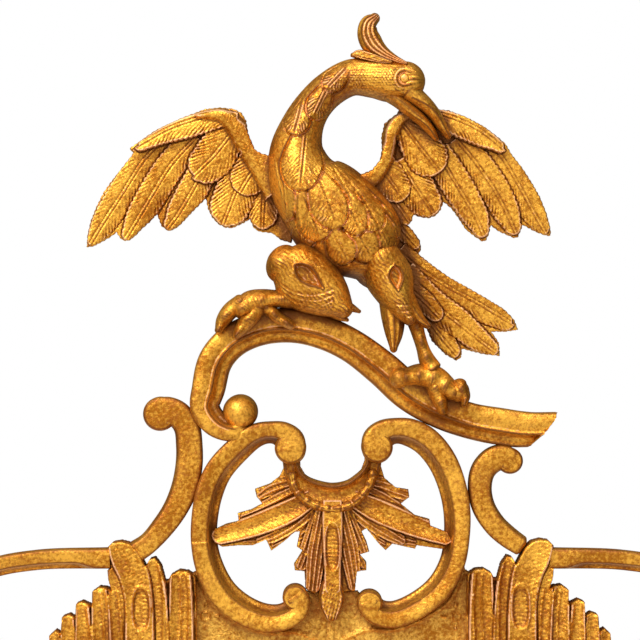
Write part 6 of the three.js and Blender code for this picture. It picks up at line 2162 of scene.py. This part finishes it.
@dataclass(frozen=True)
class SideWork:
    """The scrolls and leaves at both sides and the shell at the foot, drawn for the right side."""

    half: float = 250.0
    top: float = 25.0
    bottom: float = -695.0
    bar_half: float = 7.0
    back: float = 6.0
    front: float = 24.0
    leaf_z: float = -290.0
    upper: tuple = (-52.0, -252.0)
    lower: tuple = (-328.0, -575.0)

    def rows(self, side: int, rows: Rows) -> Array:
        """Rows of x, z and perhaps half width for one side, with back and front added."""
        full = np.array([(side * r[0], r[1], r[2] if len(r) > 2 else self.bar_half) for r in rows], float)
        return deepened(full, self.back, self.front)

    def scroll(
        self, side: int, rows: Rows, flip: int, balls: Sequence[tuple], ends: tuple = (0.4, 0.4),
    ) -> Skin:
        """A bar with its bosses, each of x, z and radius."""
        skin = Skin().tube(
            loft(self.rows(side, rows), FACE_AND_COVE, 1.3, ends, flip, None, None, (24.0, 20.0)),
        )
        for x, z, radius in balls:
            skin.tube(volute((side * x, z, radius, self.back, self.front + 1.0), 0.12))
        return skin

    def shoulder_scroll(self, side: int) -> Skin:
        """The level bar that leaves the shoulder, turns down past the corner and ends in a boss on the
        stile."""
        rows = (
            (142.96, 104.6, 6.9), (191.1, 103.2, 6.6), (222, 97.3, 6.5), (248, 83.3, 6.5), (266, 65.3, 6.5),
            (278, 41, 6.5), (282, 15), (279, -23), (270, -25, 6), (262, -25, 5),
        )
        return self.scroll(side, rows, -side, ((261, -37, 12),), (0, 0.4))

    def side_scroll(self, side: int, top: float, bottom: float) -> Skin:
        """A C-scroll with its back on the stile, open outwards."""
        near_x, far = self.half + self.bar_half - 1, self.half + 34
        rows = (
            (far - 2, top - 4, 5), (far - 11, top - 5, 6), (far - 20, top - 12), (near_x + 2, top - 28),
            (near_x, top - 52), (
                near_x, (top + bottom) / 2,
            ), (near_x, bottom + 50), (near_x + 2, bottom + 28),
            (far - 20, bottom + 12), (far - 11, bottom + 5, 6), (far - 2, bottom + 4, 5),
        )
        return self.scroll(side, rows, side, ((far, top - 15, 11), (far, bottom + 14, 10)))

    def corner_scroll(self, side: int) -> Skin:
        """The scroll down the stile, round the lower corner and in under the bottom rail."""
        rows = (
            (280, -581, 5), (266, -586, 6), (258, -605), (257, -637), (260, -681), (256, -705), (236, -706),
            (204, -702), (160, -701), (134, -706), (121, -717, 6),
        )
        return self.scroll(side, rows, side, ((284, -592, 11), (130, -725, 11)))

    def leaf(self, side: int) -> Skin:
        """Three petals that spring from the stile between two scrolls."""
        root, z = self.half + 4, self.leaf_z
        skin = Skin()
        for number, rows in enumerate((
            ((root, z + 6, 9), (root + 12, z + 20.9, 8), (root + 22, z + 32.7, 4)),
            ((root, z - 6, 9), (root + 12, z - 20.9, 8), (root + 22, z - 32.7, 4)),
            ((root, z, 12), (root + 18, z, 11), (root + 36, z, 5)),
        )):
            stations = self.rows(side, rows)
            stations[:, 3] += 0.1 * number
            stations[:, 4] -= 2.5 if number < 2 else 0.0
            skin.tube(loft(stations, RIB, 0.6, (0.3, 0.8), 1, Flutes(3, 1.5)))
        return skin

    def apron(self, petals: int = 7, length: float = 108.0, spread_angle: float = 132.0) -> Skin:
        """A shell of petals that fan down from the middle of the bottom rail, under a crown."""
        hub = self.bottom - 4
        skin = Skin()
        order = sorted(range(petals), key=lambda n: abs(n - (petals - 1) / 2), reverse=True)
        for rank, number in enumerate(order):
            angle = np.radians(spread_angle) * (number / (petals - 1) - 0.5)
            reach = length * (0.66 + 0.34 * np.cos(angle))
            rows = [
                (np.sin(angle) * reach * share, hub - np.cos(angle) * reach * share, half)
                for share, half in ((0.05, 9), (0.45, 12), (0.78, 13), (0.93, 7))
            ]
            stations = deepened(np.array(rows), 8.0 + 0.1 * rank, 20.0 + 0.6 * rank)
            skin.tube(loft(stations, RIB, 0.85, (0.2, 0.6), 1, Flutes(3, 1.7)))
        skin.tube(volute((0, hub - 12, 20, 8.0, 29.0), 0.3, 1.2))
        return skin

    def build(self, shop: Workshop) -> None:
        """Hands over all of it."""
        for side, hand_name in ((-1, "left"), (1, "right")):
            made = {
                "shoulder_scroll": self.shoulder_scroll(side),
                "side_scroll_upper": self.side_scroll(side, *self.upper),
                "side_scroll_lower": self.side_scroll(side, *self.lower),
                "corner_scroll": self.corner_scroll(side),
            }
            for name, skin in made.items():
                node = f"{name}_{hand_name}"
                shop.take(Piece(f"{node}_carved", skin, (node,), "gilt_scroll", Finish.SCROLL))
            node = f"side_leaf_{hand_name}"
            shop.take(Piece(f"{node}_carved", self.leaf(side), (node,), "gilt_shell", Finish.SHELL))
        shop.take(Piece("apron_shell_carved", self.apron(), ("apron_shell",), "gilt_shell", Finish.SHELL))


@dataclass(frozen=True)
class Batten:
    """A batten that ties the crest to the top rail, its inner top corner sawn off so that the ring hides
    it."""

    name: str
    side: int
    saw: float = 15.0

    def build(self, shop: Workshop) -> None:
        """Hands over the batten."""
        low, high = (1000.0 * np.array(end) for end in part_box(self.name))
        inner, outer = (high[0], low[0]) if self.side < 0 else (low[0], high[0])
        outline = np.array(
            [
                (outer, low[2]), (inner, low[2]), (inner, high[2] - self.saw),
                (inner + self.side * self.saw, high[2]), (outer, high[2]),
            ]
        )
        skin = Skin()
        Board(outline, -high[1], 1.0, 0.5).into(skin, on_board(-low[1], plain))
        shop.take(Piece(f"{self.name}_sawn", skin, (self.name,), "back_pine", Finish.BATTEN))


@dataclass(frozen=True)
class MirrorFrame:
    """The four members, the carved slip, the plate and what closes the back."""

    sight_half: float = 200.0
    sight_top: float = -25.0
    sight_bottom: float = -645.0
    slip: Rows = ((0, 26.0), (0, 28.5), (4.2, 30.5), (7, 34.5), (10.1, 36), (13, 34.4), (14, 33), (14, 26))

    def member(self, name: str) -> Skin:
        """One side of the slip, carved with leaves.

        Formula: the slip's section runs along one side of the plate with mitred ends: along = u * (half
        length + across). On its roll, leaves of 11.2 pitch cut in by 0.9 * |sin|^0.5 in a V with the way
        across.

        Args:
            name: top, bottom, left or right.

        Returns:
            That side of the slip.
        """
        line = spline(self.slip, 30)
        across, out = line[:, 0], line[:, 1]
        upright = name in ("left", "right")
        middle = (self.sight_top + self.sight_bottom) / 2
        half = (self.sight_top - self.sight_bottom) / 2 if upright else self.sight_half
        u = np.linspace(-1, 1, int(2 * half / 1.2))[:, None]
        along = u * (half + across[None, :])
        roll = ramp(across, 3.6, 5.4) * (1 - ramp(across, 12.2, 13.4))
        wave = np.abs(np.sin(np.pi * (along - 0.9 * np.abs(across[None, :] - 9)) / 11.2))
        stem = np.exp(-(((np.abs(along) % 11.2 - 5.6) / 0.7) ** 2))
        level = out[None, :] + roll[None, :] * (
            1.0 * (np.sqrt(wave) - 1) - 0.4 * stem
        ) + 0.4 * hand(along, across)
        place = {
            "top": (along, self.sight_top + across[None, :] + 0 * along),
            "bottom": (along, self.sight_bottom - across[None, :] + 0 * along),
            "left": (-self.sight_half - across[None, :] + 0 * along, middle + along),
            "right": (self.sight_half + across[None, :] + 0 * along, middle + along),
        }[name]
        return Skin().tube(np.stack([place[0], -level, place[1]], -1))

    def build(self, shop: Workshop) -> None:
        """Hands over the slip and dresses the CAD's own members, plate, boards and screws."""
        for name in ("top", "bottom", "left", "right"):
            node = f"sight_moulding_{name}"
            shop.take(Piece(f"{node}_carved", self.member(name), (node,), "gilt_slip", Finish.SLIP))
        redress(("top_rail", "bottom_rail", "stile_left", "stile_right"), Finish.FRAME)
        redress(("mirror_plate",), Finish.GLASS)
        redress(("backboard",), Finish.BACK)
        redress([f"backboard_screw_{n}" for n in (1, 2, 3, 4)], Finish.IRON)


@dataclass(frozen=True)
class CandleArm:
    """One candle arm: a bracket on the stile, a swan-necked arm, a pan and a nozzle."""

    side: int
    inset: float = 232.0
    height: float = -633.0
    eye_out: float = 58.0
    reach: float = 140.0
    rise: float = 44.0
    turn: float = 25.0

    def placed(self, grid: Array) -> Array:
        """Turns a grid in the arm's own frame, where the arm runs along x, to its place."""
        angle = np.radians(-90 + self.side * self.turn)
        x, y, z = np.moveaxis(grid, -1, 0)
        return np.stack(
            [
                self.side * self.inset + x * np.cos(angle) - y * np.sin(angle),
                -self.eye_out + x * np.sin(angle) + y * np.cos(angle),
                self.height + z,
            ],
            -1,
        )

    def arm(self) -> Skin:
        """The arm with its pin, hub and cap."""
        skin = Skin()
        pin = ((0, -23), (2.2, -23), (3, -21), (3, 8), (0, 8))
        hub = (
            (0, 0.3), (7.5, 0.3), (7.5, 2.5), (6.6, 3.2), (6.6, 8.5), (7.5, 9.3), (7.3, 11.2), (4.6, 15),
            (3, 17.6), (0, 19),
        )
        cap = ((0, 36), (4.6, 36), (5.4, 38), (5, 39.4), (7.2, 41.6), (9, 43.6), (9, 44), (0, 44))
        rows = np.array([
            (0, 9, 5), (14, 8, 5.5), (32.2, -7, 5.6), (60.2, -24, 5.2), (93.8, -25, 4.8), (121.8, -6, 4.6),
            (136.5, 19.8, 4.4), (140, 40, 4.4),
        ])
        line = spline(rows, 200)
        way = np.gradient(line[:, :2], axis=0)
        way /= np.linalg.norm(way, axis=1, keepdims=True)
        angle = np.linspace(0, 2 * np.pi, 24, endpoint=False)
        run = np.linspace(0, 1, 200)
        rope = 1 + 0.05 * np.sin(5 * angle[None, :] + 2 * np.pi * 9 * run[:, None])
        radius = line[:, 2:3] * rope * 0.96
        offset = radius * np.cos(angle)
        stem = np.stack(
            [
                line[:, :1] - way[:, 1:] * offset, radius * np.sin(angle), line[:, 1:2] + way[:, :1] * offset,
            ], -1
        )
        skin.tube(self.placed(turned(pin, (0, 0, 0), 36)))
        skin.tube(self.placed(turned(hub, (0, 0, 0), 48)))
        skin.tube(self.placed(turned(cap, (self.reach, 0, 0), 48)))
        skin.tube(self.placed(stem))
        return skin

    def dish(self) -> Skin:
        """The drip pan, with a scalloped rim.

        Formula: a turned profile whose radius swells by 4.5 percent * |sin(6 a)| towards the rim.

        Returns:
            The pan, on its own axis.
        """
        profile = (
            (0, 0.3), (9, 0.3), (12, 0.7), (19.8, 1.3), (26, 2.8), (30.6, 4.3), (34, 7), (36, 9.3),
            (35.6, 10.2), (34, 10.3), (32, 8.4), (29.5, 6.8), (24, 5.4), (13.5, 4.3), (5, 4.3), (5, 8.3),
            (0, 8.3),
        )
        grid = turned(profile, (0, 0, 0), 120)
        angle = np.arctan2(grid[..., 1], grid[..., 0])
        radius = np.hypot(grid[..., 0], grid[..., 1])
        swell = 1 - 0.045 * (1 - np.abs(np.sin(6 * angle))) * ramp(radius, 16, 34)
        grid = grid * np.stack([swell, swell, np.ones_like(swell)], -1)
        return Skin().tube(self.placed(grid + np.array([self.reach, 0, self.rise])))

    def cup(self) -> Skin:
        """The nozzle, with flutes on its belly."""
        foot, top = 4.6, 50.6
        profile = (
            (0, 8.9), (5.3, 8.9), (5.3, foot), (13, foot), (13.2, 6), (13, 8.4), (10.2, 10), (8.7, 13.6),
            (9.6, 16.6), (12.6, 19.4), (13.4, 24), (14.5, 30.6), (14.4, 37), (13.7, 44.6), (14.4, 46.2),
            (17, 48.1), (17, 50.2),
            (16.4, top), (11.4, top), (11, 50), (11, 22.6), (0, 22.6),
        )
        grid = turned(profile, (0, 0, 0), 96)
        angle = np.arctan2(grid[..., 1], grid[..., 0])
        belly = ramp(grid[..., 2], 17, 22) * (1 - ramp(grid[..., 2], 38, 43)) * (
            np.hypot(grid[..., 0], grid[..., 1]) > 12
        )
        swell = 1 - 0.05 * belly * np.abs(np.cos(7 * angle)) ** 3
        grid = grid * np.stack([swell, swell, np.ones_like(swell)], -1)
        return Skin().tube(self.placed(grid + np.array([self.reach, 0, self.rise])))

    def build(self, shop: Workshop) -> None:
        """Hands over the moving pieces and dresses the bracket."""
        name = "left" if self.side < 0 else "right"
        redress((f"candle_bracket_{name}",), Finish.ARMS)
        arm, cup = f"arm_{name}", f"candle_nozzle_{name}"
        shop.take(Piece(
            f"candle_arm_{name}_cast", self.arm(), (f"candle_arm_{name}",), "gilt_metal", Finish.ARMS, arm,
        ))
        shop.take(Piece(
            f"drip_pan_{name}_spun", self.dish(), (f"drip_pan_{name}",), "gilt_metal", Finish.ARMS, arm, 35.0,
        ))
        shop.take(Piece(
            f"nozzle_{name}_cast", self.cup(), (f"nozzle_{name}",), "gilt_metal", Finish.ARMS, cup, 35.0,
        ))


@dataclass(frozen=True)
class Hangers:
    """The straps, screws and wire loops on the back."""

    def build(self) -> None:
        """Dresses the CAD's own pieces."""
        for name in ("left", "right"):
            redress((f"hanger_strap_{name}", f"hanger_screw_{name}"), Finish.IRON)
            redress((f"hanger_ring_{name}",), Finish.BRASS)


# ----------------------------------------------------------------------------------------------------------
# The studio
# ----------------------------------------------------------------------------------------------------------


@dataclass(frozen=True)
class Studio:
    """A pale floor, soft light and the camera at the photo's angle."""

    centre: tuple = (-0.0065, 0.2599)
    width: float = 0.4159
    plane: float = -0.02
    lens: float = 200.0
    sensor: float = 36.0

    def camera(self) -> None:
        """Sets the camera level and square to the wall."""
        data = bpy.data.cameras.new("camera")
        data.lens, data.sensor_width = self.lens, self.sensor
        data.clip_end = 50.0
        thing = bpy.data.objects.new("camera", data)
        distance = self.width * self.lens / self.sensor
        thing.location = (self.centre[0], self.plane - distance, self.centre[1])
        thing.rotation_euler = (np.pi / 2, 0, 0)
        bpy.context.scene.collection.objects.link(thing)
        bpy.context.scene.camera = thing

    def lamp(
        self, name: str, place: tuple, aim: tuple, size: float, power: float, tint: tuple = (1, 1, 1),
    ) -> None:
        """Hangs one square soft box.

        Args:
            name: the light's name.
            place: where it hangs.
            aim: the point it faces.
            size: its side in metres.
            power: its power in watts.
            tint: its colour.
        """
        data = bpy.data.lights.new(name, "AREA")
        data.shape, data.size, data.energy, data.color = "SQUARE", size, power, tint
        thing = bpy.data.objects.new(name, data)
        thing.location = place
        way = np.array(aim) - np.array(place)
        flat = np.hypot(way[0], way[1])
        thing.rotation_euler = (np.arctan2(flat, -way[2]), 0, np.arctan2(-way[0], way[1]))
        bpy.context.scene.collection.objects.link(thing)

    def world(self) -> None:
        """White to the camera; to the mirror, a soft room, brighter above and to the left."""
        world = bpy.data.worlds.new("studio")
        world.use_nodes = True
        bpy.context.scene.world = world
        tree = world.node_tree
        tree.nodes.clear()
        n = Nodes(tree)
        way = n.add("ShaderNodeTexCoord").outputs["Generated"]
        axes = n.add("ShaderNodeSeparateXYZ", None, Vector=way).outputs
        lift = n.math("ADD", n.math("MULTIPLY", axes[2], 0.55), n.math("MULTIPLY", axes[0], -0.35))
        lift = n.math("ADD", lift, n.math("MULTIPLY", axes[1], -0.6))
        share = n.band(lift, -0.1, 0.95)
        room = n.mix(share, (0.06, 0.05, 0.04, 1), (1.0, 0.97, 0.92, 1))
        soft = n.add("ShaderNodeBackground", None, Color=room, Strength=1.1)
        white = n.add("ShaderNodeBackground", None, Color=(1, 1, 1, 1), Strength=1.0)
        seen = n.add("ShaderNodeLightPath").outputs["Is Camera Ray"]
        both = n.add("ShaderNodeMixShader", None, in0=seen, in1=soft.outputs[0], in2=white.outputs[0])
        n.add("ShaderNodeOutputWorld", None, Surface=both.outputs[0])

    def floor(self, low: float) -> None:
        """A pale floor just under the mirror, a fine grid with a slight unevenness."""
        x, y = np.meshgrid(np.linspace(-1.6, 1.6, 33), np.linspace(-2.4, 2.2, 47), indexing="ij")
        z = low - 0.012 + 0.0006 * np.sin(3 * x) * np.sin(2 * y)
        number = np.arange(x.size).reshape(x.shape)
        faces = np.stack(
            [number[:-1, :-1], number[1:, :-1], number[1:, 1:], number[:-1, 1:]], -1,
        ).reshape(-1, 4)
        mesh = bpy.data.meshes.new("floor")
        mesh.from_pydata(np.stack([x, y, z], -1).reshape(-1, 3).tolist(), [], faces.tolist())
        material, n, shader, where = blank("pale_floor")
        tone = n.noise(where, 3.0, 4.0)
        n.tree.links.new(
            n.mix(tone, (0.78, 0.77, 0.75, 1), (0.86, 0.85, 0.83, 1)), shader.inputs["Base Color"],
        )
        shader.inputs["Roughness"].default_value = 0.7
        mesh.materials.append(material)
        thing = bpy.data.objects.new("floor", mesh)
        bpy.context.scene.collection.objects.link(thing)
        thing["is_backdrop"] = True

    def build(self, low: float) -> None:
        """Sets up everything round the mirror."""
        self.camera()
        self.world()
        self.floor(low)
        self.lamp("key", (-1.2, -1.7, 1.9), (0, 0, 0.2), 0.6, 50.0, (1.0, 0.97, 0.92))
        self.lamp("fill", (1.7, -1.5, 0.4), (0, 0, 0.1), 0.9, 5.0, (1.0, 0.98, 0.95))
        self.lamp("top", (0.2, -0.4, 2.1), (0, 0, 0.2), 0.6, 12.0)
        view = bpy.context.scene.view_settings
        view.view_transform = "Standard"
        view.look = "None"
        view.exposure = 0.0


def build() -> tuple:
    """Builds the whole picture and returns the model's bounds as they were before."""
    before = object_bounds()
    shop = Workshop()
    ScrollWork().build(shop)
    ShellSpray().build(shop)
    CrestPanel().build(shop)
    for shoulder in SHOULDERS:
        shoulder.build(shop)
    Bird().build(shop)
    Batten("crest_batten_left", -1).build(shop)
    Batten("crest_batten_right", 1).build(shop)
    SideWork().build(shop)
    MirrorFrame().build(shop)
    for side in (-1, 1):
        CandleArm(side).build(shop)
    Hangers().build()
    shop.set_up()
    Studio().build(before[0][2])
    return before


def main() -> None:
    """Builds the picture."""
    logging.basicConfig(level=logging.INFO, format="%(message)s")
    before = build()


if __name__ == "__main__":
    main()
